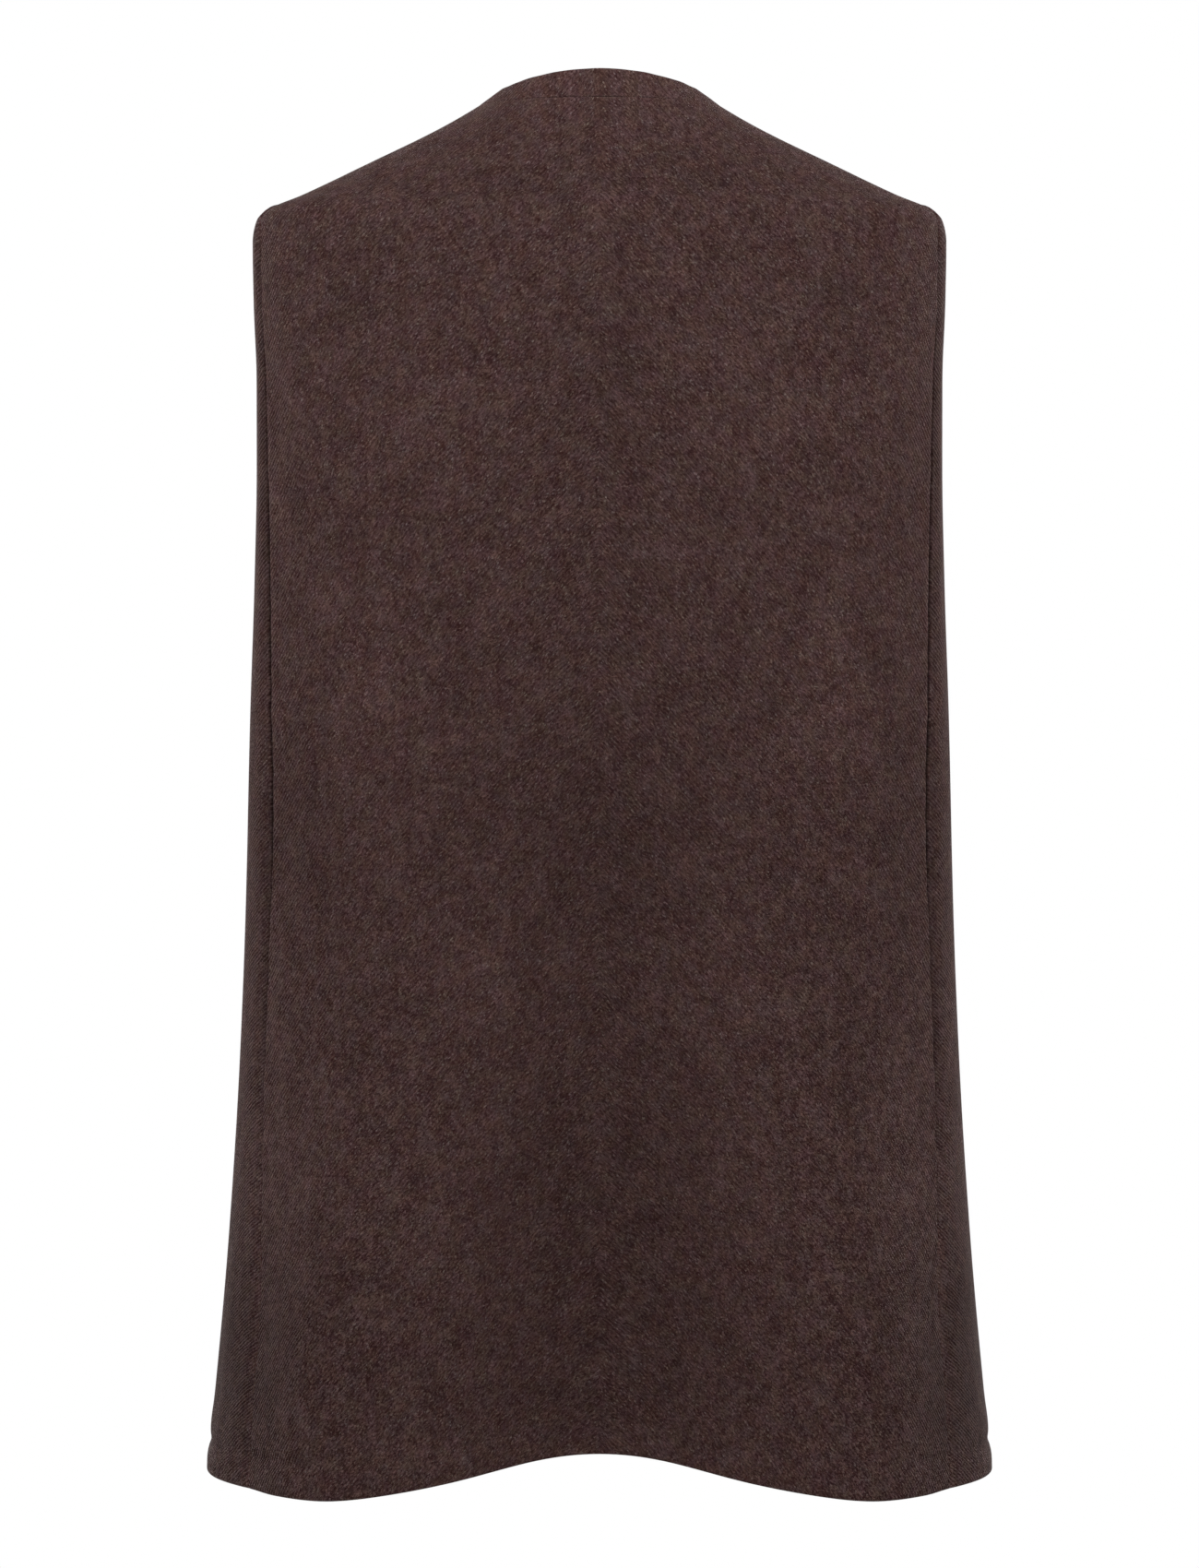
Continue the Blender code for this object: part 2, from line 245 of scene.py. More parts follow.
CREASES = (
    # The centre trough turns in under the shoulder blades.
    Crease(Face.BACK, (0.0, -430.0), (0.0, -800.0), 62.0, -8.0),
    Crease(Face.BACK, (0.0, -600.0), (0.0, -830.0), 78.0, -10.0),
    # Pulls over the shoulder blades, and the hollow between them.
    Crease(Face.BACK, (0.0, -112.0), (0.0, -205.0), 17.0, -1.3),
    Crease(Face.BACK, (6.0, -192.0), (88.0, -272.0), 16.0, -1.5, bow=6.0, both=True),
    Crease(Face.BACK, (70.0, -72.0), (58.0, -128.0), 20.0, 0.8, both=True),
    Crease(Face.BACK, (118.0, -92.0), (112.0, -150.0), 18.0, -0.9, both=True),
    # The drags that run in from the arm slit.
    Crease(Face.BACK, (178.0, -222.0), (166.0, -276.0), 11.0, -1.7, both=True),
    Crease(Face.BACK, (112.0, -255.0), (160.0, -330.0), 12.0, 2.2, bow=-5.0, both=True),
    Crease(Face.BACK, (124.0, -312.0), (147.0, -420.0), 13.0, 2.2, bow=4.0, both=True),
    Crease(Face.BACK, (183.0, -368.0), (180.0, -470.0), 13.0, -1.5, both=True),
    # Small breaks at the waist.
    Crease(Face.BACK, (90.0, -378.0), (108.0, -440.0), 15.0, 1.5, bow=3.0, both=True),
    Crease(Face.BACK, (129.0, -392.0), (122.0, -446.0), 9.0, -1.1, both=True),
    Crease(Face.BACK, (74.0, -468.0), (90.0, -565.0), 16.0, 1.5, bow=-4.0, both=True),
    Crease(Face.BACK, (58.0, -528.0), (72.0, -592.0), 12.0, -1.3, both=True),
    # The flutes, and the falls that cross them.
    Crease(Face.BACK, (106.0, -560.0), (120.0, -680.0), 19.0, 1.4, both=True),
    Crease(Face.BACK, (191.0, -655.0), (197.0, -732.0), 15.0, -1.6, both=True),
    Crease(Face.BACK, (171.0, -700.0), (174.0, -790.0), 18.0, 1.1, bow=3.0, both=True),
    Crease(Face.BACK, (113.0, -688.0), (106.0, -765.0), 15.0, -1.2, both=True),
    # The fronts: drags from the neck, the fall from the bust, and the breaks towards the hem.
    Crease(Face.FRONT, (38.0, -86.0), (84.0, -186.0), 13.0, 1.0, bow=5.0),
    Crease(Face.FRONT, (-44.0, -92.0), (-96.0, -212.0), 12.0, 1.2, bow=-4.0),
    Crease(Face.FRONT, (68.0, -236.0), (96.0, -430.0), 17.0, 2.0, bow=6.0),
    Crease(Face.FRONT, (-84.0, -246.0), (-72.0, -492.0), 15.0, 1.8, bow=-5.0),
    Crease(Face.FRONT, (134.0, -262.0), (152.0, -530.0), 14.0, -2.0, bow=4.0),
    Crease(Face.FRONT, (-122.0, -300.0), (-150.0, -616.0), 18.0, 2.5, bow=-7.0),
    Crease(Face.FRONT, (44.0, -520.0), (62.0, -786.0), 23.0, 2.4, bow=6.0),
    Crease(Face.FRONT, (-46.0, -566.0), (-76.0, -790.0), 20.0, -2.0, bow=-5.0),
    Crease(Face.FRONT, (150.0, -566.0), (171.0, -790.0), 21.0, 3.0, bow=4.0),
    Crease(Face.FRONT, (-168.0, -612.0), (-181.0, -786.0), 19.0, 2.2, bow=3.0),
    Crease(Face.FRONT, (108.0, -618.0), (112.0, -760.0), 15.0, -1.6),
)

# Height, and how far open the long seam is there.
SLIT_OPENNESS = (
    (-128.0, 0.0), (-162.0, 1.0), (-225.0, 1.0), (-300.0, 0.72), (-400.0, 0.45), (-478.0, 0.0),
)


@dataclass(frozen=True)
class CapeForm:
    """The one surface that all the cloth lies on, as a run of level rings.

    A ring is told by its distance, from the neck edge along the shoulder and down the side. A place
    on it is told by its station: 0 at the centre back, 1 at the side, 2 at the centre front, with
    even arc length between them. Stations under 0 are the wearer's left, and stations past 2 or -2
    run on round the front.
    """

    drop_power: float = 1.6
    hem_rise: float = 17.8
    hem_rise_width: float = 82.0
    fold_keep_off: float = 40.0
    ring_samples: int = 241
    nudge: float = 0.4
    crease_keep_off: float = 22.0

    @property
    def table(self) -> Array:
        """The section table as numbers."""
        return np.array(SECTIONS)

    @property
    def knots(self) -> Array:
        """The distance of each row of the section table, added up along the side profile."""
        across, down = np.diff(self.table[:, :2], axis=0).T
        return np.concatenate([[0.0], np.cumsum(np.hypot(across, down))])

    def section(self, distances: Array) -> dict[str, Array]:
        """The section table's columns at these distances, each by its name."""
        values = smooth(self.knots, self.table, distances)
        return {name: values[:, [k]] for k, name in enumerate(SECTION_COLUMNS)}

    def half_rings(self, distances: Array) -> tuple[Array, ...]:
        """Works out the wearer's right half of each ring, from centre back to centre front.

        Each half is a quarter of a superellipse behind the middle plane and another in front of
        it: x is the half width times the sine of the turn to the power 2 / squareness, and y is
        the depth times its cosine to the same power. The folds push it in or out.

        Args:
            distances: the rings wanted.

        Returns:
            x, y, z, the station of each sample, and the arc lengths of the back and front quarters.
        """
        s = self.section(distances)
        turn = np.linspace(0.0, np.pi / 2, self.ring_samples)[None, :]
        wide_b = s["half_width"] * np.sin(turn) ** (2 / s["back_square"])
        deep_b = s["back_depth"] * np.cos(turn) ** (2 / s["back_square"])
        wide_f = s["half_width"] * np.cos(turn) ** (2 / s["front_square"])
        deep_f = s["front_depth"] * np.sin(turn) ** (2 / s["front_square"])
        x = np.hstack([wide_b, wide_f[:, 1:]])
        y = np.hstack([-deep_b, deep_f[:, 1:]])
        behind = np.arange(x.shape[1])[None, :] < self.ring_samples
        share = np.abs(y) / np.where(behind, s["back_depth"], s["front_depth"])
        lift = np.where(behind, s["back_lift"] * share**2, 0.0)
        drop = np.where(behind, 0.0, s["front_drop"] * share**self.drop_power)
        z = s["height"] + lift - drop
        push, rise = self.fold_moves(x, y, z, behind)
        y = y + push
        z = z + rise
        steps = np.hypot(np.diff(x, axis=1), np.diff(y, axis=1))
        arc = np.hstack([np.zeros((len(x), 1)), np.cumsum(steps, axis=1)])
        back_arc = arc[:, [self.ring_samples - 1]]
        front_arc = arc[:, [-1]] - back_arc
        station = np.where(arc <= back_arc, arc / back_arc, 1 + (arc - back_arc) / front_arc)
        return x, y, z, station, back_arc, front_arc

    def fold_moves(self, x: Array, y: Array, z: Array, behind: Array) -> tuple[Array, Array]:
        """Works out how the folds push the rings in or out and lift the hem at the centre back.

        Args:
            x: sideways place of each sample.
            y: its place fore and aft, which fades the folds out towards the sides.
            z: its height.
            behind: whether it lies behind the middle plane.

        Returns:
            The push along Y and the rise along Z.
        """
        hem_height = SECTIONS[-1][1]
        clear = ramp(np.abs(y) / self.fold_keep_off)
        push = np.zeros_like(y)
        rise = np.zeros_like(z)
        for fold in FOLDS:
            down = np.clip((fold.top_z - z) / (fold.top_z - hem_height), 0.0, 1.0)
            middle = fold.top_x + (fold.hem_x - fold.top_x) * down
            width = fold.top_width + (fold.hem_width - fold.top_width) * down
            grown = down**fold.growth * (behind if fold.face is Face.BACK else ~behind)
            push += fold.face.value * fold.depth * grown * bell((x - middle) / width) * clear
            if fold.hem_x == 0.0:
                rise += self.hem_rise * grown * bell(x / self.hem_rise_width)
        return push, rise

    def points(self, distances: Array, stations: Array) -> Array:
        """Reads points off the rings, by the straight line between two samples.

        Args:
            distances: the rings.
            stations: one row of them for each ring.

        Returns:
            One row of points for each ring. Past station 2 they are those of the other half.
        """
        *axes, station = self.half_rings(distances)[:4]
        size = np.abs(stations)
        past_front = size > 2
        size = np.where(past_front, 4 - size, size)
        side = np.where(stations < 0, -1.0, 1.0) * np.where(past_front, -1.0, 1.0)
        rings = range(len(stations))
        x, y, z = (np.stack([np.interp(size[i], station[i], a[i]) for i in rings]) for a in axes)
        return np.stack([x * side, y, z], axis=-1)

    def normals(self, distances: Array, stations: Array) -> Array:
        """Works out the outward unit normals: the cross product of a small step down and one round.

        Args:
            distances: the rings.
            stations: one row of them for each ring.

        Returns:
            One row of normals for each ring.
        """
        turn = self.nudge / self.arcs(distances)[0]
        around = self.points(distances, stations + turn) - self.points(distances, stations - turn)
        low = np.minimum(distances + self.nudge, self.knots[-1])
        high = np.maximum(distances - self.nudge, 0.0)
        down = self.points(low, stations) - self.points(high, stations)
        normal = np.cross(down, around)
        return normal / np.linalg.norm(normal, axis=-1, keepdims=True)

    def arcs(self, distances: Array) -> tuple[Array, Array]:
        """The arc lengths of each ring's back quarter and front quarter."""
        return self.half_rings(distances)[4:]

    def run_of(self, distances: Array, stations: Array) -> Array:
        """Works out the arc length from the centre back to each station, signed as it is.

        Args:
            distances: the rings.
            stations: one row of them for each ring.

        Returns:
            The station's share of the back quarter, or all of that and its share of the front one.
        """
        back, front = self.arcs(distances)
        size = np.abs(stations)
        run = np.where(size <= 1, size * back, back + (size - 1) * front)
        return np.sign(stations) * run

    def stations_of(self, distances: Array, runs: Array) -> Array:
        """Works out the station at each arc length from the centre back: run_of turned round.

        Args:
            distances: the rings.
            runs: one row of arc lengths for each ring.

        Returns:
            One row of stations for each ring.
        """
        back, front = self.arcs(distances)
        size = np.abs(runs)
        return np.sign(runs) * np.where(size <= back, size / back, 1 + (size - back) / front)

    def openness(self, distances: Array) -> Array:
        """Works out how far open the long seam is, by a monotone curve through the slit's table.

        Args:
            distances: the rings.

        Returns:
            A column of shares, from 0 where the seam is sewn to 1 where it is fully open.
        """
        heights, amounts = np.array(SLIT_OPENNESS).T
        at = self.section(distances)["height"][:, 0]
        inside = (at < heights[0]) & (at > heights[-1])
        amount = smooth(-heights, amounts[:, None], np.clip(-at, -heights[0], -heights[-1]))
        return np.where(inside[:, None], amount, 0.0)

    def creasing(self, base: Array) -> Array:
        """Adds up the creases, each faded out where the cloth turns away from its face.

        Args:
            base: points of the form.

        Returns:
            The move of each point along its normal.
        """
        x, y, z = np.moveaxis(base, -1, 0)
        total = np.zeros_like(x)
        for crease in CREASES:
            facing = ramp(crease.face.value * y / self.crease_keep_off)
            total += crease.relief(x, z) * facing
        return total


@dataclass(frozen=True)
class PaintedShading:
    """A soft patch on both sides of the middle, of painted light where it is paler and of painted
    shade where its tone is negative and it is darker.
    """

    face: Face
    place: tuple[float, float]
    size: tuple[float, float]
    tone: float

    def tone_at(self, x: Array, z: Array) -> Array:
        """The patch's tone: a bell sideways times a bell up and down."""
        side = bell((np.abs(x) - self.place[0]) / self.size[0])
        return self.tone * side * bell((z - self.place[1]) / self.size[1])


PAINTED_SHADING = (
    # Painted light: paler at the neck, over the shoulder blades, down their outer edge and on the
    # flutes.
    PaintedShading(Face.BACK, (0.0, 4.0), (75.0, 18.0), 0.12),
    PaintedShading(Face.BACK, (130.0, -335.0), (22.0, 70.0), 0.19),
    PaintedShading(Face.BACK, (93.0, -200.0), (40.0, 40.0), 0.10),
    PaintedShading(Face.BACK, (60.0, -300.0), (40.0, 60.0), 0.05),
    PaintedShading(Face.BACK, (72.0, -510.0), (22.0, 40.0), 0.12),
    PaintedShading(Face.BACK, (107.0, -633.0), (28.0, 60.0), 0.05),
    # Painted shade: darker in the hollows where it hangs, at the sides and low down.
    PaintedShading(Face.BACK, (60.0, -60.0), (50.0, 25.0), -0.11),
    PaintedShading(Face.BACK, (134.0, -114.0), (25.0, 25.0), -0.12),
    PaintedShading(Face.BACK, (0.0, -166.0), (25.0, 60.0), -0.14),
    PaintedShading(Face.BACK, (0.0, -420.0), (40.0, 60.0), -0.11),
    PaintedShading(Face.BACK, (175.0, -427.0), (24.0, 60.0), -0.17),
    PaintedShading(Face.BACK, (150.0, -520.0), (25.0, 50.0), -0.07),
    PaintedShading(Face.BACK, (0.0, -560.0), (35.0, 90.0), -0.09),
    PaintedShading(Face.BACK, (38.0, -578.0), (22.0, 40.0), -0.08),
    PaintedShading(Face.BACK, (0.0, -690.0), (75.0, 80.0), -0.11),
    PaintedShading(Face.BACK, (52.0, -715.0), (45.0, 45.0), -0.08),
    PaintedShading(Face.BACK, (162.0, -688.0), (30.0, 40.0), -0.11),
    PaintedShading(Face.BACK, (185.0, -750.0), (34.0, 60.0), -0.18),
    PaintedShading(Face.BACK, (214.0, -715.0), (26.0, 75.0), -0.22),
    # The fronts alike, painted light and shade.
    PaintedShading(Face.FRONT, (84.0, -232.0), (42.0, 60.0), 0.10),
    PaintedShading(Face.FRONT, (128.0, -380.0), (26.0, 80.0), -0.09),
    PaintedShading(Face.FRONT, (58.0, -560.0), (30.0, 90.0), 0.07),
    PaintedShading(Face.FRONT, (20.0, -430.0), (26.0, 110.0), -0.06),
    PaintedShading(Face.FRONT, (168.0, -700.0), (30.0, 60.0), -0.12),
)


@dataclass(frozen=True)
class Mottle:
    """How strongly the fibres' tones differ, where 1 is as they were spun.

    They differ more low down at the sides, most of all in the hem's corners, and less at the neck.
    Where they differ more, the cloth is made darker by shade times the difference.
    """

    low: float = 0.40
    low_down: Fade = Fade(-330.0, -260.0)
    low_out: Fade = Fade(40.0, 110.0)
    corner: float = 0.30
    corner_down: Fade = Fade(-560.0, -140.0)
    corner_out: Fade = Fade(165.0, 30.0)
    neck: float = -0.14
    neck_up: Fade = Fade(-70.0, 60.0)
    shade: float = 0.26

    def at(self, base: Array) -> Array:
        """Works out the strength: 1 and the three places' shares, each times its fades.

        Args:
            base: points of the form.

        Returns:
            The strength at each point.
        """
        out, z = np.abs(base[..., 0]), base[..., 2]
        low = self.low * self.low_down.at(z) * self.low_out.at(out)
        corner = self.corner * self.corner_down.at(z) * self.corner_out.at(out)
        return 1.0 + low + corner + self.neck * self.neck_up.at(z)


@dataclass(frozen=True)
class Pucker:
    """One of the waves in which a seam draws up: its length over 2 pi, its start and its height."""

    length: float
    start: float
    height: float


PUCKERS = (Pucker(3.7, 1.0, 1.0), Pucker(2.15, 2.1, 0.6), Pucker(6.9, 0.0, 0.5))


@dataclass(frozen=True)
class Edge:
    """How one edge of a piece is finished: rolled over outside, turned in inside."""

    STEP: ClassVar[float] = 1.8

    roll: float = 1.3
    inner_roll: float = 0.7
    turn: float = 0.0
    turn_wall: float = 1.5

    def dip(self, away: Array) -> Array:
        """How far the outer face drops towards the edge: a quarter circle of the roll's radius."""
        reach = np.clip(self.roll - away, 0.0, self.roll)
        return self.roll - np.sqrt(self.roll**2 - reach**2)

    def inner_dip(self, away: Array) -> Array:
        """The same for the inner face."""
        reach = np.clip(self.inner_roll - away, 0.0, self.inner_roll)
        return self.inner_roll - np.sqrt(self.inner_roll**2 - reach**2)

    def allowance(self, away: Array) -> Array:
        """Works out the wall that the turned allowance adds inside, ending in a soft step.

        Args:
            away: how far each point is from the edge.

        Returns:
            The added thickness at each point: none at a free edge.
        """
        if self.turn == 0.0:
            return np.zeros_like(away)
        return self.turn_wall * (1 - Fade(self.turn - self.STEP / 2, self.STEP).at(away))


@dataclass(frozen=True)
class Cut:
    """A piece laid flat: where each grid point lies on the cloth, and the size it is cut to."""

    places: Array
    width: float
    length: float
    area: float


def area_of(grid: Array) -> float:
    """Adds up the areas of the two triangles of each cell, half the size of their cross products.

    Args:
        grid: points in space, or places on the flat cloth.

    Returns:
        The area, in the grid's own units squared.
    """
    a, b, c, d = grid[:-1, :-1], grid[1:, :-1], grid[1:, 1:], grid[:-1, 1:]
    if grid.shape[-1] == 2:
        first = (b - a)[..., 0] * (c - a)[..., 1] - (b - a)[..., 1] * (c - a)[..., 0]
        second = (c - a)[..., 0] * (d - a)[..., 1] - (c - a)[..., 1] * (d - a)[..., 0]
        return float(np.abs(first).sum() + np.abs(second).sum()) / 2
    first = np.linalg.norm(np.cross(b - a, c - a), axis=-1)
    second = np.linalg.norm(np.cross(c - a, d - a), axis=-1)
    return float(first.sum() + second.sum()) / 2


def lay_flat(cloth: Array, grain: int) -> Array:
    """Lays a curved panel flat with its angles kept as well as they can be.

    The flat places are complex numbers z. Each triangle with local corners p wants
    (p3 - p2) z1 + (p1 - p3) z2 + (p2 - p1) z3 to be nothing, and the sum of the squares of these
    over all triangles, each over its area, is made least. Both ends of one column are held on the
    straight grain.

    Args:
        cloth: a grid of points, rows going down and columns to the right as seen from outside.
        grain: the column that is held upright.

    Returns:
        A grid of flat (u, v) places.
    """
    rows, columns = cloth.shape[:2]
    index = np.arange(rows * columns).reshape(rows, columns)
    a, b, c, d = index[:-1, :-1], index[1:, :-1], index[1:, 1:], index[:-1, 1:]
    triangles = np.vstack([np.stack(t, -1).reshape(-1, 3) for t in ((a, b, c), (a, c, d))])
    corners = cloth.reshape(-1, 3)[triangles]
    first = corners[:, 1] - corners[:, 0]
    second = corners[:, 2] - corners[:, 0]
    length = np.linalg.norm(first, axis=1)
    along = (second * first).sum(1) / length
    height = np.linalg.norm(np.cross(first, second), axis=1) / length
    local = np.stack([np.zeros_like(length) + 0j, length + 0j, along + 1j * height], axis=1)
    weight = np.stack(
        [local[:, 2] - local[:, 1], local[:, 0] - local[:, 2], local[:, 1] - local[:, 0]], axis=1
    ) / np.sqrt(length * height)[:, None]
    energy = np.zeros((rows * columns,) * 2, complex)
    np.add.at(
        energy,
        (triangles[:, :, None], triangles[:, None, :]),
        weight.conj()[:, :, None] * weight[:, None, :],
    )
    held = np.array([index[0, grain], index[-1, grain]])
    free = np.setdiff1d(index.ravel(), held)
    grain_length = np.linalg.norm(np.diff(cloth[:, grain], axis=0), axis=-1).sum()
    flat = np.zeros(rows * columns, complex)
    flat[held] = [0.0, -1j * grain_length]
    flat[free] = np.linalg.solve(
        energy[np.ix_(free, free)], -energy[np.ix_(free, held)] @ flat[held]
    )
    return np.stack([flat.real, flat.imag], axis=-1).reshape(rows, columns, 2)


@dataclass
class ClothPiece:
    """A piece of cloth as a closed wall on the form: outer face, inner face and rolled rims.

    Rows of its grid run down the cape and columns run round it, to the right as seen from outside.
    The grid is fine near the edges, where they roll and turn in, and even elsewhere.
    """

    form: CapeForm
    node: str = "piece"
    wall: float = 2.4
    step: float = 4.0
    seam_gap: float = 0.8
    neck_seam_gap: float = 0.1
    lap_half: float = 32.0
    lap_gap: float = 0.8
    lap_ease: float = 45.0
    lap_room: Fade = Fade(3.0, 5.0)
    seam_advance: float = 0.5
    slit_calm: float = 0.7
    pucker: Ridge = Ridge(0.22, 0.0, 9.0)
    hem_pinch: Ridge = Ridge(-0.9, -2.5, 3.4)
    hem_bulge: Ridge = Ridge(0.7, 9.0, 7.0)
    hem_break: Ridge = Ridge(0.9, 9.0, 9.0)
    hem_flat: float = 0.4
    hem_side: Fade = Fade(120.0, 80.0)
    hem_hang: float = 0.0
    hang_off_seam: Fade = Fade(0.0, 24.0)
    hang_near_hem: Fade = Fade(90.0, -90.0)
    shading_keep_off: float = 20.0
    mottle: Mottle = Mottle()
    top_edge: Edge = Edge(roll=0.5, turn=9.0)
    hem_edge: Edge = Edge(roll=1.7, turn=21.0)
    left_edge: Edge = Edge(turn=11.0)
    right_edge: Edge = Edge(turn=11.0)

    CLUSTER: ClassVar[tuple[float, ...]] = (
        0.0, 0.06, 0.25, 0.55, 0.95, 1.4, 2.0, 2.9, 4.2, 6.0, 8.2, 10.1, 11.0, 11.9, 14.5,
    )
    HEM_CLUSTER: ClassVar[tuple[float, ...]] = (
        0.0, 0.08, 0.3, 0.7, 1.2, 1.8, 2.7, 4.2, 6.4, 9.0, 12.0, 14.5, 16.8, 18.6, 20.2, 21.2,
        22.2, 23.8, 26.4, 29.5,
    )
    TOP_SPREAD: ClassVar[float] = 1.25
    COARSE_ROWS: ClassVar[int] = 48
    COARSE_COLUMNS: ClassVar[int] = 27

    def edges(self, distances: Array) -> tuple[Array, Array]:
        """The arc lengths, from the centre back, of the piece's left and right edges."""
        raise NotImplementedError

    def seam_line(self, distances: Array) -> Array:
        """The arc length of the long seam, which lies a little forward of the solids' own."""
        seam = self.form.run_of(distances, self.form.section(distances)["seam"])
        return seam + self.seam_advance

    def free_edge(self, distances: Array) -> Array:
        """The arc length of a free edge, which lies half the lap past the centre front."""
        back, front = self.form.arcs(distances)
        return back + front + self.lap_half

    def raised(self, distances: Array, stations: Array) -> Array:
        """How far the piece's outer face lies off the common surface, apart from its creases."""
        raise NotImplementedError

    def allowance_room(self, distances: Array, stations: Array) -> Array:
        """1 where there is room inside for turned allowances, 0 where another layer lies there."""
        return np.ones_like(stations)

    def room_beside_lap(self, distances: Array, stations: Array) -> Array:
        """Works out the room for allowances in a piece that laps over another.

        Args:
            distances: the rings.
            stations: one row of them for each ring.

        Returns:
            0 over the whole lap, 1 clear of it.
        """
        back, front = self.form.arcs(distances)
        to_centre = back + front - self.form.run_of(distances, stations)
        return self.lap_room.at(to_centre - self.lap_half)

    def lapped(self, distances: Array, run: Array, side: Array | int) -> Array:
        """Works out how the lap moves the cloth: half a wall and half the lap's gap out or in.

        Args:
            distances: the rings.
            run: arc lengths from the centre back, all positive.
            side: 1 for cloth that lies on top, -1 for cloth that lies under it.

        Returns:
            The move along the normal, which eases off beside the lap.
        """
        back, front = self.form.arcs(distances)
        from_centre = np.abs(back + front - run)
        share = Fade(self.lap_half + self.lap_ease, -self.lap_ease).at(from_centre)
        return side * (self.wall + self.lap_gap) / 2 * share

    def mirrored(self, u: Array) -> Array:
        """The wales rise to the centre back from both sides, so they follow u without its sign."""
        return np.abs(u)

    def nap(self, base: Array, from_left: Array, from_right: Array) -> Array:
        """Works out how much paler the cloth is painted: the patches of painted light and shade
        added up, less what the mottle takes.

        Args:
            base: points of the form.
            from_left: how far each is from the piece's left edge.
            from_right: how far each is from its right edge.

        Returns:
            The change at each point, as a share of the cloth's colour.
        """
        x, y, z = np.moveaxis(base, -1, 0)
        total = np.zeros_like(x)
        # The patches are painted light and shade, faded out where the cloth turns away from their
        # face.
        for shading_patch in PAINTED_SHADING:
            total += shading_patch.tone_at(x, z) * ramp(shading_patch.face.value * y / self.shading_keep_off)
        return total - self.mottle.shade * (self.mottle.at(base) - 1.0)

    @property
    def first(self) -> float:
        """The distance of the piece's top edge."""
        return float(self.form.knots[NECK_SEAM_ROW]) + self.neck_seam_gap / 2

    @property
    def last(self) -> float:
        """The distance of the piece's bottom edge."""
        return float(self.form.knots[-1])

    def row_distances(self) -> Array:
        """Works out the piece's rings, close together at both ends and round the shoulder tip.

        Returns:
            The distance of each ring.
        """
        top = self.first + np.array(self.CLUSTER) * self.TOP_SPREAD
        foot = self.last - np.array(self.HEM_CLUSTER)[::-1]
        tip_start, tip_end = self.form.knots[ABOVE_TIP_ROW], self.form.knots[BELOW_TIP_ROW]
        yoke = np.linspace(top[-1], tip_start, round((tip_start - top[-1]) / self.step) + 1)
        tip = np.linspace(tip_start, tip_end, round((tip_end - tip_start) / self.step * 2) + 1)
        fall = np.linspace(tip_end, foot[0], round((foot[0] - tip_end) / self.step) + 1)
        return np.concatenate([top, yoke[1:], tip[1:], fall[1:], foot[1:]])

    def grid_runs(self, distances: Array) -> Array:
        """Works out the grid's columns: a cluster at each edge and an even middle.

        Args:
            distances: the rings.

        Returns:
            The arc lengths of each ring's columns.
        """
        left, right = self.edges(distances)
        cluster = np.array(self.CLUSTER)[None, :]
        reach = cluster[0, -1]
        widest = float((right - left).max())
        count = 2 * round((widest - 2 * reach) / self.step / 2) + 1
        middle = np.linspace(0.0, 1.0, count)[None, 1:-1]
        inner = left + reach + (right - left - 2 * reach) * middle
        return np.hstack([left + cluster, inner, right - cluster[:, ::-1]])

    def seam_waver(self, places: Array, away: Array | float) -> Array:
        """Small puckers along a sewn edge: a few sines of unlike length that die away from it."""
        wave = sum(p.height * np.sin(places[:, None] / p.length + p.start) for p in PUCKERS)
        return self.pucker.at(away) * wave

    def seam_puckers(self, distances: Array, away: Array) -> Array:
        """The long seam's puckers, calmer where it is open."""
        calm = 1 - self.slit_calm * self.form.openness(distances)
        return self.seam_waver(distances, away) * calm

    def hem_relief(self, base: Array, away: Array) -> Array:
        """Works out the pinch where the turned hem ends, between two fuller rolls.

        Args:
            base: points of the form.
            away: how far each is from the hem.

        Returns:
            The move along the normal, strongest at the sides.
        """
        at_side = self.hem_flat + (1 - self.hem_flat) * self.hem_side.at(np.abs(base[..., 0]))
        past_turn = away - self.hem_edge.turn
        turned = self.hem_bulge.at(away) + self.hem_pinch.at(past_turn)
        return turned * at_side + self.hem_break.at(past_turn) * (at_side - self.hem_flat)

    def hang(self, from_seam: Array, from_hem: Array) -> Array:
        """How far the hem drops away from the long seams, which hold it up."""
        return self.hem_hang * self.hang_off_seam.at(from_seam) * self.hang_near_hem.at(from_hem)

    def cut(self, distances: Array, shares: Array) -> Cut:
        """Lays the piece flat on a coarse grid and reads off every point of the fine one.

        Each fine point lies between four coarse ones, by its shares of the way between them.

        Args:
            distances: the fine grid's rings.
            shares: for each point of the fine grid, its share of the way across the piece.

        Returns:
            The piece laid flat.
        """
        rows, columns = self.COARSE_ROWS, self.COARSE_COLUMNS
        at = np.linspace(self.first, self.last, rows)
        left, right = self.edges(at)
        across = np.linspace(0.0, 1.0, columns)[None, :]
        coarse = self.form.points(at, self.form.stations_of(at, left + (right - left) * across))
        flat = lay_flat(coarse, self.grain_column(columns))
        row = ((distances - at[0]) / (at[1] - at[0]))[:, None] + np.zeros_like(shares)
        column = shares * (columns - 1)
        i = np.clip(row.astype(int), 0, rows - 2)
        j = np.clip(column.astype(int), 0, columns - 2)
        s, t = (row - i)[..., None], (column - j)[..., None]
        places = (
            flat[i, j] * (1 - s) * (1 - t)
            + flat[i + 1, j] * s * (1 - t)
            + flat[i, j + 1] * (1 - s) * t
            + flat[i + 1, j + 1] * s * t
        )
        size = np.ptp(flat.reshape(-1, 2), axis=0)
        return Cut(places, float(size[0]), float(size[1]), area_of(flat))

    def grain_column(self, columns: int) -> int:
        """The column that lies on the straight grain."""
        return columns // 2

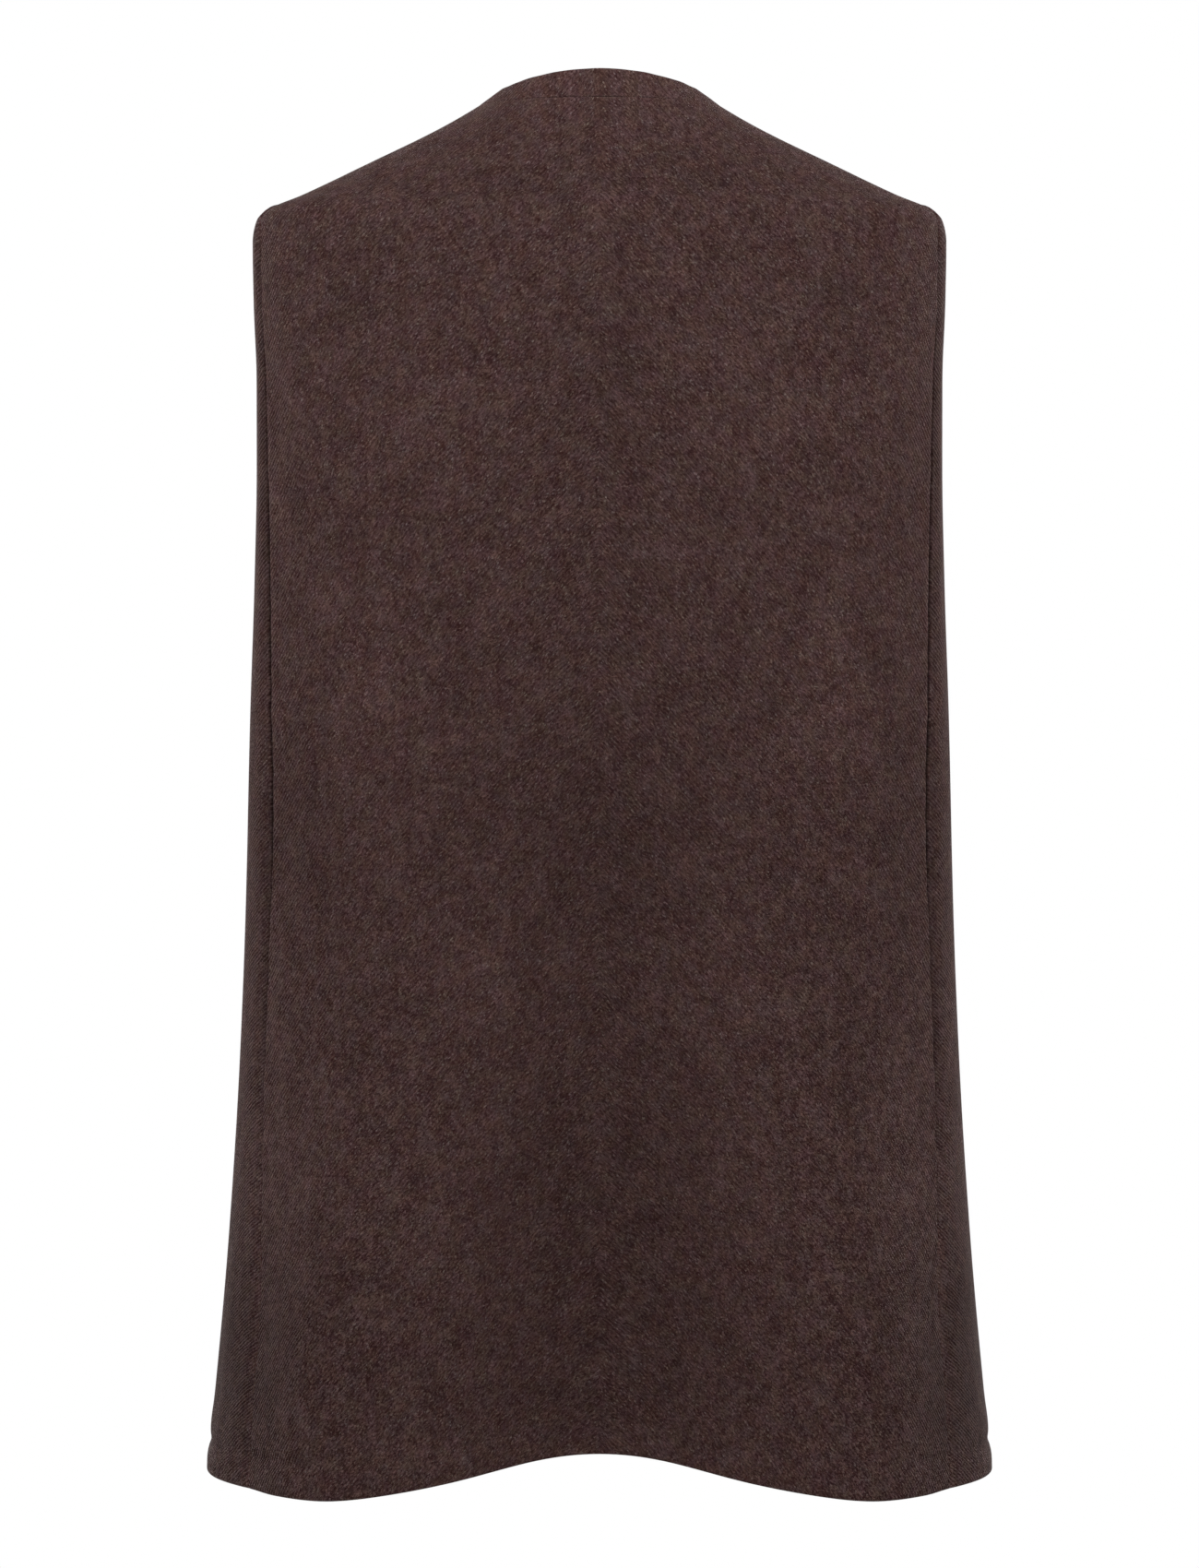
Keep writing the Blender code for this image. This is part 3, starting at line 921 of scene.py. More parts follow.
    def build(self, finish: "NappedTwill") -> bpy.types.Object:
        """The outer face is the common surface, moved out by the lap, the creases, the puckers and
        the hem, and dipped at the edges. The inner face lies a wall inside it, and a turned
        allowance further where there is one.

        Args:
            finish: the cloth it is cut from.

        Returns:
            The finished object.
        """
        form = self.form
        distances = self.row_distances()
        runs = self.grid_runs(distances)
        stations = form.stations_of(distances, runs)
        base = form.points(distances, stations)
        normal = form.normals(distances, stations)
        from_left = runs - runs[:, :1]
        from_right = runs[:, -1:] - runs
        down = np.vstack([
            np.zeros((1, base.shape[1])),
            np.cumsum(np.linalg.norm(np.diff(base, axis=0), axis=-1), axis=0),
        ])
        from_top, from_hem = down, down[-1:] - down
        base[..., 2] -= self.hang(np.minimum(from_left, from_right), from_hem)
        sides = (
            (self.left_edge, from_left), (self.right_edge, from_right),
            (self.top_edge, from_top), (self.hem_edge, from_hem),
        )
        relief = (
            self.raised(distances, stations)
            + form.creasing(base)
            + self.hem_relief(base, from_hem)
        )
        dip = np.max([edge.dip(d) for edge, d in sides], axis=0)
        inner_dip = np.max([edge.inner_dip(d) for edge, d in sides], axis=0)
        turned = np.max([edge.allowance(d) for edge, d in sides], axis=0)
        turned = turned * self.allowance_room(distances, stations)
        outer = base + normal * (relief - dip)[..., None]
        inner = base + normal * (relief - self.wall - turned + inner_dip)[..., None]
        shares = from_left / (from_left + from_right)
        cut = self.cut(distances, shares)
        u, v = np.moveaxis(cut.places, -1, 0)
        layouts = {"cloth": cut.places, "weave": np.stack([self.mirrored(u), v], axis=-1)}
        nearest = np.minimum(np.minimum(from_left, from_right), np.minimum(from_top, from_hem))
        looks = {
            "edge": nearest,
            # nap holds painted light and shade, and the mottle's darkening.
            "nap": self.nap(base, from_left, from_right),
            "mottle": self.mottle.at(base),
        }
        piece = closed_wall(f"{self.node}_cloth", outer, inner, layouts, looks)
        finish.dress(piece)
        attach(piece, BODY)
        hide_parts(self.node)
        cut.width * MM
        cut.area * MM * MM
        log.info(
            "%s: %d faces, cut %.0f x %.0f mm, %.4f m2",
            piece.name, len(piece.data.polygons), cut.width, cut.length, cut.area * 1e-6,
        )
        return piece


RIM_REACH = 3


def closed_wall(
    name: str, outer: Array, inner: Array, layouts: dict[str, Array], looks: dict[str, Array]
) -> bpy.types.Object:
    """Joins an outer and an inner grid into one closed mesh with a rim all round.

    On the rims the flat cloth runs straight on past the edge by the wall's thickness, the way it
    comes from the point RIM_REACH places in. The rims' faces come after those of both grids.

    Args:
        name: the new object's name.
        outer: the outer face's points, in millimetres.
        inner: the inner face's points.
        layouts: where each grid point lies on the flat cloth, for the fibres and for the weave.
        looks: what else the cloth's colour follows, one number for each grid point.

    Returns:
        The object, at the world's origin.
    """
    rows, columns = outer.shape[:2]
    count = rows * columns
    index = np.arange(count).reshape(rows, columns)
    under = index + count

    def quads(a: Array, b: Array, c: Array, d: Array) -> Array:
        """Stacks four arrays of corners into a list of quads."""
        return np.stack([a, b, c, d], axis=-1).reshape(-1, 4)

    faces = np.vstack([
        quads(index[:-1, :-1], index[1:, :-1], index[1:, 1:], index[:-1, 1:]),
        quads(under[:-1, :-1], under[:-1, 1:], under[1:, 1:], under[1:, :-1]),
        quads(index[0, :-1], index[0, 1:], under[0, 1:], under[0, :-1]),
        quads(index[-1, 1:], index[-1, :-1], under[-1, :-1], under[-1, 1:]),
        quads(index[:-1, 0], under[:-1, 0], under[1:, 0], index[1:, 0]),
        quads(index[:-1, -1], index[1:, -1], under[1:, -1], under[:-1, -1]),
    ])
    mesh = bpy.data.meshes.new(name)
    vertices = np.vstack([outer.reshape(-1, 3), inner.reshape(-1, 3)]) * MM
    mesh.from_pydata(vertices.tolist(), [], faces.tolist())
    thickness = np.linalg.norm(outer - inner, axis=-1)[..., None]
    for layout, places in layouts.items():
        flat = np.vstack([places.reshape(-1, 2)] * 2)[faces]
        end = 2 * (rows - 1) * (columns - 1)
        for axis, side in ((0, 0), (0, -1), (1, 0), (1, -1)):
            within = RIM_REACH if side == 0 else side - RIM_REACH
            edge, inside = (np.take(places, place, axis) for place in (side, within))
            way = edge - inside
            way = way / np.linalg.norm(way, axis=-1, keepdims=True) * np.take(thickness, side, axis)
            beyond = np.zeros((2 * count, 2))
            beyond[np.take(under, side, axis)] = way
            start, end = end, end + len(edge) - 1
            flat[start:end] += beyond[faces[start:end]]
        layer = mesh.uv_layers.new(name=layout)
        layer.uv.foreach_set("vector", (flat * MM).astype(np.float32).ravel())
    for look, values in looks.items():
        attribute = mesh.attributes.new(look, "FLOAT", "POINT")
        attribute.data.foreach_set("value", np.tile(values.ravel(), 2).astype(np.float32))
    mesh.shade_smooth()
    piece = bpy.data.objects.new(name, mesh)
    bpy.context.scene.collection.objects.link(piece)
    return piece


@dataclass
class BackPanel(ClothPiece):
    """The back, cut in one piece from seam to seam, with the centre back on the straight grain."""

    node: str = "back"
    hem_hang: float = 0.9
    slit_give: float = 3.3
    slit_lip: Ridge = Ridge(0.9, 0.0, 7.0)
    # A painted highlight: a pale line along the slit's edge, over its upper part.
    edge_highlight: Ridge = Ridge(0.26, 0.8, 1.6)
    highlight_from: Fade = Fade(-80.0, -40.0)
    highlight_to: Fade = Fade(-470.0, 240.0)

    def edges(self, distances: Array) -> tuple[Array, Array]:
        """Works out the edges at both long seams, drawn back along the slits.

        Args:
            distances: the rings.

        Returns:
            The arc lengths of the left and the right edge.
        """
        give = self.slit_give * self.form.openness(distances)
        seam = self.seam_line(distances) - self.seam_gap / 2 - give
        return -seam, seam

    def raised(self, distances: Array, stations: Array) -> Array:
        """Works out how the edge stands a little proud along the slit and puckers along the seam.

        Args:
            distances: the rings.
            stations: one row of them for each ring.

        Returns:
            The move of each point along its normal.
        """
        away = self.edges(distances)[1] - np.abs(self.form.run_of(distances, stations))
        lip = self.slit_lip.at(away) * self.form.openness(distances)
        return lip + self.seam_puckers(distances, away)

    def nap(self, base: Array, from_left: Array, from_right: Array) -> Array:
        """Adds a painted highlight, a pale line along the slit's edge, to the patches of painted
        light and shade.

        Args:
            base: points of the form.
            from_left: how far each is from the piece's left edge.
            from_right: how far each is from its right edge.

        Returns:
            The change at each point, as a share of the cloth's colour.
        """
        # Painted highlight along the edge.
        along = self.highlight_from.at(base[..., 2]) * self.highlight_to.at(base[..., 2])
        line = self.edge_highlight.at(np.minimum(from_left, from_right))
        return super().nap(base, from_left, from_right) + along * line


@dataclass
class FrontPanel(ClothPiece):
    """A front, from the long seam to its free edge past the centre front.

    Its edge curls in along the seam, and more along the slit. Painted shade darkens the cloth
    beside that edge, for the shade in the seam's groove. It eases off halfway down the slit, and
    low down it turns into a painted highlight, a paler line.
    """

    node: str = "front_right"
    hand: Hand = Hand.RIGHT
    slit_give: float = 5.6
    seam_curl: float = 1.1
    slit_curl: float = 2.2
    curl_reach: float = 7.5
    tip_lift: Ridge = Ridge(1.2, 0.0, 10.0)
    below_tip: Fade = Fade(-66.0, -34.0)
    # Painted shade along the seam's edge, how it eases off, and the painted highlight it turns into
    # low down.
    seam_painted_shade: float = 0.26
    seam_shade_fade: Fade = Fade(10.0, -10.0)
    beside_seam_shade: Ridge = Ridge(0.08, 0.0, 32.0)
    low_shade_to_highlight: float = 1.5
    low_down: Fade = Fade(-540.0, -130.0)
    slit_shade_lift: Ridge = Ridge(0.7, -360.0, 70.0)

    def seam_edge(self, distances: Array) -> Array:
        """The arc length of its edge at the long seam, drawn forward along the slit."""
        give = self.slit_give * self.form.openness(distances)
        return self.seam_line(distances) + self.seam_gap / 2 + give

    def edges(self, distances: Array) -> tuple[Array, Array]:
        """The long seam on one side and the free edge on the other."""
        seam, free = self.seam_edge(distances), self.free_edge(distances)
        return (seam, free) if self.hand is Hand.RIGHT else (-free, -seam)

    def raised(self, distances: Array, stations: Array) -> Array:
        """Adds up the lap, the curl of the seam's edge, its lift at the tip and its puckers.

        Args:
            distances: the rings.
            stations: one row of them for each ring.

        Returns:
            The move of each point along its normal.
        """
        form = self.form
        run = np.abs(form.run_of(distances, stations))
        from_seam = run - self.seam_edge(distances)
        curl = self.seam_curl * self.below_tip.at(form.section(distances)["height"])
        curl = curl + (self.slit_curl - self.seam_curl) * form.openness(distances)
        from_tip = distances[:, None] - form.knots[TIP_ROW]
        return (
            self.lapped(distances, run, self.hand.value)
            - curl * bell(from_seam / self.curl_reach)
            + self.tip_lift.at(from_tip) * bell(from_seam / self.tip_lift.reach)
            + self.seam_puckers(distances, from_seam)
        )

    def allowance_room(self, distances: Array, stations: Array) -> Array:
        """Ends the right front's allowances where the left front lies under it.

        Args:
            distances: the rings.
            stations: one row of them for each ring.

        Returns:
            The share of the allowances that there is room for.
        """
        if self.hand is Hand.LEFT:
            return super().allowance_room(distances, stations)
        return self.room_beside_lap(distances, stations)

    def mirrored(self, u: Array) -> Array:
        """The wales go on round the side as they run on the back."""
        return u * self.hand.value

    def nap(self, base: Array, from_left: Array, from_right: Array) -> Array:
        """Takes painted shade along the seam's edge off the patches of painted light and shade.

        Args:
            base: points of the form.
            from_left: how far each is from the piece's left edge.
            from_right: how far each is from its right edge.

        Returns:
            The change at each point, as a share of the cloth's colour.
        """
        z = base[..., 2]
        from_seam = from_left if self.hand is Hand.RIGHT else from_right
        # Painted shade along the seam's edge; low down it turns into a painted highlight.
        dark = self.seam_painted_shade * self.seam_shade_fade.at(from_seam) + self.beside_seam_shade.at(from_seam)
        worn = self.low_shade_to_highlight * self.low_down.at(z) + self.slit_shade_lift.at(z)
        painted = super().nap(base, from_left, from_right)
        return painted - dark * self.below_tip.at(z) * (1.0 - worn)

    def grain_column(self, columns: int) -> int:
        """The free edge lies on the straight grain."""
        return columns - 1 if self.hand is Hand.RIGHT else 0


@dataclass
class NeckBand(ClothPiece):
    """The narrow band round the neck, doubled, whose right end laps over its left one."""

    node: str = "neck_band"
    step: float = 3.0
    swell: float = 0.35
    waver: float = 0.5
    waver_spread: float = 0.9
    top_edge: Edge = Edge(turn=9.0)
    hem_edge: Edge = Edge(roll=0.5, turn=21.0)

    NEAR_EDGE: ClassVar[tuple[float, ...]] = (0.0, 0.08, 0.3, 0.7, 1.2, 1.9, 3.0, 4.5)
    MIDDLE_ROWS: ClassVar[int] = 2

    @property
    def first(self) -> float:
        """The neck edge."""
        return 0.0

    @property
    def last(self) -> float:
        """The neck seam."""
        return float(self.form.knots[NECK_SEAM_ROW]) - self.neck_seam_gap / 2

    def edges(self, distances: Array) -> tuple[Array, Array]:
        """The ends, past the centre front on both sides."""
        free = self.free_edge(distances)
        return -free, free

    def row_distances(self) -> Array:
        """Works out the band's rings, close at both edges, with a few between.

        Returns:
            The distance of each ring.
        """
        near = np.array(self.NEAR_EDGE)
        ends = self.first + near[-1], self.last - near[-1]
        middle = np.linspace(*ends, self.MIDDLE_ROWS + 2)[1:-1]
        return np.concatenate([self.first + near, middle, self.last - near[::-1]])

    def raised(self, distances: Array, stations: Array) -> Array:
        """Adds up the lap of its ends, a swell between its two edges and a waver along it.

        The swell is half a sine over the band's height.

        Args:
            distances: the rings.
            stations: one row of them for each ring.

        Returns:
            The move of each point along its normal.
        """
        run = self.form.run_of(distances, stations)
        lap = self.lapped(distances, np.abs(run), np.sign(run))
        share = (distances[:, None] - self.first) / (self.last - self.first)
        waver = self.seam_waver(run[len(run) // 2] * self.waver_spread, 0.0).T
        return lap + self.swell * np.sin(np.pi * share) + self.waver * waver

    def hem_relief(self, base: Array, away: Array) -> Array:
        """A band has no hem."""
        return np.zeros_like(away)

    def allowance_room(self, distances: Array, stations: Array) -> Array:
        """The band is doubled all round, except where its left end lies under its right one."""
        return self.room_beside_lap(distances, stations)

    def cut(self, distances: Array, shares: Array) -> Cut:
        """Lays the band flat as it is cut, straight: its length round the neck by its height.

        Args:
            distances: the grid's rings.
            shares: for each point of the grid, its share of the way along the band.

        Returns:
            The band laid flat.
        """
        left, right = self.edges(distances)
        u = left + (right - left) * shares
        v = np.broadcast_to(-distances[:, None], u.shape)
        surface = self.form.points(distances, self.form.stations_of(distances, u))
        length = float((right - left).max())
        height = float(np.linalg.norm(np.diff(surface, axis=0), axis=-1).sum(0).max())
        return Cut(np.stack([u, v], axis=-1), length, height, area_of(surface))


Operand = Union["Wire", float]


class Wire:
    """An output socket that does arithmetic: each operation adds a Math node."""

    def __init__(self, loom: "Loom", socket: bpy.types.NodeSocket) -> None:
        """Wraps a socket of the loom's node tree."""
        self.loom = loom
        self.socket = socket

    def math(self, operation: str, *others: Operand) -> "Wire":
        """Adds a Math node with this wire as its first operand."""
        return self.loom.math(operation, self, *others)

    def __add__(self, other: Operand) -> "Wire":
        """This plus other."""
        return self.math("ADD", other)

    __radd__ = __add__

    def __sub__(self, other: Operand) -> "Wire":
        """This less other."""
        return self.math("SUBTRACT", other)

    def __rsub__(self, other: Operand) -> "Wire":
        """Other less this."""
        return self.loom.math("SUBTRACT", other, self)

    def __mul__(self, other: Operand) -> "Wire":
        """This times other."""
        return self.math("MULTIPLY", other)

    def __mod__(self, other: Operand) -> "Wire":
        """What is left of this after whole others, never under 0."""
        return self.math("FLOORED_MODULO", other)

    def __pow__(self, other: Operand) -> "Wire":
        """This to the power other."""
        return self.math("POWER", other)

    def sine(self) -> "Wire":
        """The sine of this, in radians."""
        return self.math("SINE")

    def floor(self) -> "Wire":
        """The whole number at or below this."""
        return self.math("FLOOR")

    def above(self, other: Operand) -> "Wire":
        """1 where this is above other, 0 elsewhere."""
        return self.math("GREATER_THAN", other)

    def at_least(self, other: Operand) -> "Wire":
        """The greater of this and other."""
        return self.math("MAXIMUM", other)

    def step_up(self, low: float, high: float) -> "Wire":
        """Raises a wire from 0 to 1: 3x squared less 2x cubed of its share of the way.

        Args:
            low: where it is still 0.
            high: where it has reached 1.

        Returns:
            The share, held between 0 and 1.
        """
        return self.loom.node(
            "ShaderNodeMapRange",
            {"interpolation_type": "SMOOTHSTEP", "clamp": True},
            {"Value": self, "From Min": low, "From Max": high, "To Min": 0.0, "To Max": 1.0},
        ).out("Result")


class Knot:
    """A node of the loom whose outputs are read as wires."""

    def __init__(self, loom: "Loom", node: bpy.types.Node) -> None:
        """Wraps a node."""
        self.loom = loom
        self.node = node

    def out(self, name: Union[str, int]) -> Wire:
        """The named or numbered output."""
        return Wire(self.loom, self.node.outputs[name])


@dataclass(frozen=True)
class Grain:
    """A random pattern on the cloth.

    scale is how many cells it has to a unit across and along, unit is that unit in millimetres,
    and shift is where it starts. detail and roughness are those of smooth noise.
    """

    scale: tuple[float, float]
    shift: tuple[float, float] = (0.0, 0.0)
    detail: float = 1.0
    roughness: float = 0.5
    unit: float = 1.0


class Loom:
    """The node tree of a material or a world, built up one node at a time."""

    def __init__(self, owner: Union[bpy.types.Material, bpy.types.World]) -> None:
        """Empties the owner's tree.

        Args:
            owner: the material or world that the nodes belong to.
        """
        owner.use_nodes = True
        self.tree = owner.node_tree
        self.tree.nodes.clear()

    def node(
        self,
        kind: str,
        settings: dict[str, Any] | None = None,
        inputs: dict[Union[str, int], Any] | None = None,
    ) -> Knot:
        """Adds a node.

        Args:
            kind: the node's type.
            settings: its properties, set first.
            inputs: the values or wires of its sockets.

        Returns:
            The node, wrapped.
        """
        node = self.tree.nodes.new(kind)
        for key, value in (settings or {}).items():
            setattr(node, key, value)
        for key, value in (inputs or {}).items():
            if isinstance(value, Wire):
                self.tree.links.new(value.socket, node.inputs[key])
            else:
                node.inputs[key].default_value = value
        return Knot(self, node)

    def math(self, operation: str, *operands: Operand) -> Wire:
        """Adds a Math node.

        Args:
            operation: what it works out.
            operands: the numbers or wires it is worked out from.

        Returns:
            The result.
        """
        return self.node(
            "ShaderNodeMath", {"operation": operation}, dict(enumerate(operands))
        ).out(0)

    def mix(self, share: Operand, first: Any, second: Any) -> Wire:
        """Mixes two colours.

        Args:
            share: how much of the second.
            first: a colour or a wire.
            second: a colour or a wire.

        Returns:
            The mixed colour.
        """
        return self.node(
            "ShaderNodeMix",
            {"data_type": "RGBA", "blend_type": "MIX"},
            {0: share, 6: first, 7: second},
        ).out(2)

    def vector(self, operation: str, first: Any, second: Any) -> Wire:
        """Adds a Vector Math node.

        Args:
            operation: what it works out.
            first: a place, a colour or a wire.
            second: the same.

        Returns:
            The result.
        """
        return self.node(
            "ShaderNodeVectorMath", {"operation": operation}, {0: first, 1: second}
        ).out(0)

    def axes(self, vector: Wire) -> tuple[Wire, Wire]:
        """The first two axes of a place."""
        parts = self.node("ShaderNodeSeparateXYZ", None, {0: vector})
        return parts.out(0), parts.out(1)

    def attribute(self, name: str) -> Wire:
        """One of the piece's looks, which its mesh holds at every point."""
        return self.node("ShaderNodeAttribute", {"attribute_name": name}).out("Fac")

    def scaled(self, vector: Wire, scale: Sequence[float], shift: Sequence[float]) -> Wire:
        """Stretches and then shifts a place on the cloth.

        Args:
            vector: the place.
            scale: what its axes are multiplied by.
            shift: what is then added to them.

        Returns:
            The new place.
        """
        return self.node(
            "ShaderNodeMapping",
            {"vector_type": "POINT"},
            {"Vector": vector, "Scale": tuple(scale), "Location": tuple(shift)},
        ).out(0)

    def laid(self, vector: Wire, grain: Grain) -> Wire:
        """Counts a place on the cloth in a grain's cells.

        Args:
            vector: the place, in millimetres.
            grain: the cells.

        Returns:
            The place in cells.
        """
        count = 1.0 / grain.unit
        scale = (count * grain.scale[0], count * grain.scale[1], 1.0)
        return self.scaled(vector, scale, (*grain.shift, 0.0))

    def noise(self, vector: Wire, grain: Grain) -> Knot:
        """Adds smooth noise around one half.

        Args:
            vector: the place on the cloth.
            grain: the noise's cells.

        Returns:
            The node: its output 0 is one such field and its output 1 three of them.
        """
        return self.node(
            "ShaderNodeTexNoise",
            {"noise_dimensions": "2D"},
            {
                "Vector": self.laid(vector, grain),
                "Scale": 1.0,
                "Detail": grain.detail,
                "Roughness": grain.roughness,
            },
        )

    def specks(self, vector: Wire, grain: Grain) -> Knot:
        """Adds a field of small cells.

        Args:
            vector: the place on the cloth.
            grain: the size of the cells and where they start.

        Returns:
            A node whose outputs 0, 1 and 2 are drawn at random for each cell, from 0 to 1.
        """
        cells = self.node(
            "ShaderNodeTexVoronoi",
            {"voronoi_dimensions": "2D", "feature": "F1"},
            {"Vector": self.laid(vector, grain), "Scale": 1.0, "Randomness": 1.0},
        )
        return self.node("ShaderNodeSeparateColor", None, {0: cells.out("Color")})


Colour = tuple[float, float, float, float]

DARK_WOOL: Colour = (0.0212, 0.0081, 0.0080, 1.0)
PALE_WOOL: Colour = (0.1030, 0.0632, 0.0590, 1.0)
RUSSET: Colour = (0.0640, 0.0270, 0.0235, 1.0)
OLIVE: Colour = (0.0500, 0.0325, 0.0220, 1.0)
SLATE: Colour = (0.0360, 0.0245, 0.0280, 1.0)
PALE_PIN: Colour = (0.1700, 0.1330, 0.1220, 1.0)
GREEN_CAST: Colour = (0.975, 1.02, 0.985, 1.0)
RED_CAST: Colour = (1.05, 0.978, 0.98, 1.0)
YELLOW_CAST: Colour = (1.01, 1.01, 0.93, 1.0)
BLUE_CAST: Colour = (0.99, 0.99, 1.07, 1.0)
WHITE: Colour = (1.0, 1.0, 1.0, 1.0)


@dataclass(frozen=True)
class Tone:
    """One scale of the melange: the size of its blots in millimetres and how strongly they show.

    Small blots lean with the wales, as the floats do.
    """

    FIRST: ClassVar[float] = 1.3
    APART: ClassVar[tuple[float, float]] = (3.1, 7.7)

    across: float
    along: float
    strength: float
    detail: float = 1.0
    leans: bool = False

    def grain(self, order: int) -> Grain:
        """The blots' noise, started at a place of its own for each scale."""
        shift = (self.APART[0] * order + self.FIRST, self.APART[1] * order)
        return Grain((1.0 / self.across, 1.0 / self.along), shift, self.detail)


@dataclass(frozen=True)
class Fleck:
    """Fibres of another colour, which show from the draw low, and at high by their strength."""

    colour: Colour
    low: float
    high: float
    strength: float


@dataclass(frozen=True)
class Cast:
    """A slow drift of the cloth's colour, from a first tint at low to a second one at high."""

    grain: Grain
    low: float
    high: float
    first: Colour
    second: Colour

    def tint(self, loom: Loom, place: Wire) -> Wire:
        """The tint at a place on the cloth."""
        share = loom.noise(place, self.grain).out(0).step_up(self.low, self.high)
        return loom.mix(share, self.first, self.second)


@dataclass(frozen=True)
class NappedTwill:
    """A heavy 2/2 wool twill, spun from mixed fibres and brushed.

    Its wales lean wale_lean degrees and lie wale_gap millimetres apart. Warp and weft floats make
    its relief, the nap blurs it, and the mixed fibres give each speck of it a tone of its own.
    """

    wale_gap: float = 2.05
    wale_lean: float = 48.6
    dark: Colour = DARK_WOOL
    pale: Colour = PALE_WOOL
    tone_start: float = 0.5
    tone_range: tuple[float, float] = (-0.20, 1.20)
    tone_power: float = 1.9
    speck: Grain = Grain((1.25, 0.7), unit=0.72)
    speck_strength: float = 0.38
    tones: tuple[Tone, ...] = (
        Tone(0.95, 1.35, 0.54, leans=True),
        Tone(2.20, 2.90, 0.40, leans=True),
        Tone(5.50, 6.50, 0.44),
        Tone(19.0, 26.0, 0.34, 2.0),
    )
    rib_share: float = 0.7
    float_share: float = 0.5
    weave_level: float = 0.55
    weave_strength: float = 0.19
    hair: Grain = Grain((2.6, 0.42), (14.0, 3.0))
    hair_range: tuple[float, float] = (0.64, 0.77)
    hair_strength: float = 0.80
    worn_range: tuple[float, float] = (0.2, 2.2)
    worn_strength: float = 0.05
    fibre: Grain = Grain((0.55, 0.36), (5.3, 8.9), unit=0.72)
    fibres: tuple[Fleck, ...] = (
        Fleck(RUSSET, 0.80, 1.0, 0.20),
        Fleck(OLIVE, 0.72, 1.0, 0.20),
        Fleck(SLATE, 0.74, 1.0, 0.18),
    )
    pins: tuple[Fleck, ...] = (
        Fleck(PALE_PIN, 0.955, 0.99, 0.47),
        Fleck(DARK_WOOL, 0.945, 0.985, 0.47),
    )
    casts: tuple[Cast, ...] = (
        Cast(Grain((0.085, 0.07), (2.2, 6.1), 3.0, 0.6), 0.32, 0.68, GREEN_CAST, RED_CAST),
        Cast(Grain((0.115, 0.10), (9.4, 1.7), 2.0, 0.5), 0.30, 0.70, YELLOW_CAST, BLUE_CAST),
    )
    drift: Grain = Grain((0.09, 0.09), detail=2.0)
    drift_reach: tuple[float, float, float] = (1.3, 1.3, 0.0)
    other_side: tuple[float, float] = (513.0, 271.0)
    rib_relief: float = 0.20
    float_relief: float = 0.16
    nap: Grain = Grain((1.5, 0.9), (4.0, 8.0), 2.0, 0.6)
    nap_relief: float = 0.34
    lump: Grain = Grain((0.085, 0.06), (2.0, 3.0))
    lump_relief: float = 0.60
    shine: float = 0.04
    sheen: float = 0.31
    sheen_roughness: float = 0.11
    sheen_tint: Colour = (0.84, 0.66, 0.63, 1.0)

    def across(self, loom: Loom, weave: Wire) -> tuple[Wire, Wire]:
        """Turns a place on the cloth by the wales' lean.

        Args:
            loom: the node tree.
            weave: the place on the cloth, in millimetres.

        Returns:
            How far it lies across the wales and how far along them, in millimetres.
        """
        lean = math.radians(self.wale_lean)
        u, v = loom.axes(weave)
        return u * math.sin(lean) + v * math.cos(lean), v * math.sin(lean) - u * math.cos(lean)

    def ribs(self, across: Wire) -> Wire:
        """The wales alone: a sine across them, from 0 to 1."""
        return (across * (2 * math.pi / self.wale_gap)).sine() * 0.5 + 0.5

    def floats(self, loom: Loom, weave: Wire) -> Wire:
        """Works out the relief of the crossing floats, from 0 to 1.

        With u over the warp gap and v over the weft gap, a warp float rises as the sine of its
        phase over the first half of every four picks, a weft float over the other half, each
        times the sine across its own yarn, and the higher one shows.

        Args:
            loom: the node tree.
            weave: the place on the cloth, in millimetres.

        Returns:
            The relief.
        """
        lean = math.radians(self.wale_lean)
        u, v = loom.axes(weave)
        warps = u * (4 * math.sin(lean) / self.wale_gap)
        wefts = v * (4 * math.cos(lean) / self.wale_gap)
        warp_phase = (wefts + warps.floor()) % 4.0
        weft_phase = (warps + wefts.floor() + 2.0) % 4.0
        warp = (warp_phase * (math.pi / 2)).sine() * ((warps % 1.0) * math.pi).sine()
        weft = (weft_phase * (math.pi / 2)).sine() * ((wefts % 1.0) * math.pi).sine()
        return warp.at_least(weft).at_least(0.0)

    def tone(
        self, loom: Loom, place: Wire, lie: Wire, drawn: Wire, ribs: Wire, floats: Wire
    ) -> Wire:
        """Works out how pale the cloth is at a place, from 0 for dark to 1 for pale.

        It is one half, moved by the cube of each speck's draw, the blots of every scale, the
        weave, the loose hairs and the wear, and all of that times the mottle.

        Args:
            loom: the node tree.
            place: the place on the cloth, in millimetres.
            lie: the same, turned to run across and along the wales.
            drawn: the speck's draw, from 0 to 1.
            ribs: the height of the wales.
            floats: the height of the floats.

        Returns:
            The tone.
        """
        drawn = drawn * 2.0 - 1.0
        tone = self.tone_start + drawn * drawn * drawn * self.speck_strength
        for order, blot in enumerate(self.tones):
            blots = loom.noise(lie if blot.leans else place, blot.grain(order)).out(0)
            tone = tone + (blots - 0.5) * blot.strength
        weave = ribs * self.rib_share + floats * self.float_share - self.weave_level
        tone = tone + weave * self.weave_strength
        hair = loom.noise(lie, self.hair).out(0).step_up(*self.hair_range)
        worn = 1.0 - loom.attribute("edge").step_up(*self.worn_range)
        tone = tone + hair * self.hair_strength + worn * self.worn_strength
        return (tone - self.tone_start) * loom.attribute("mottle") + self.tone_start

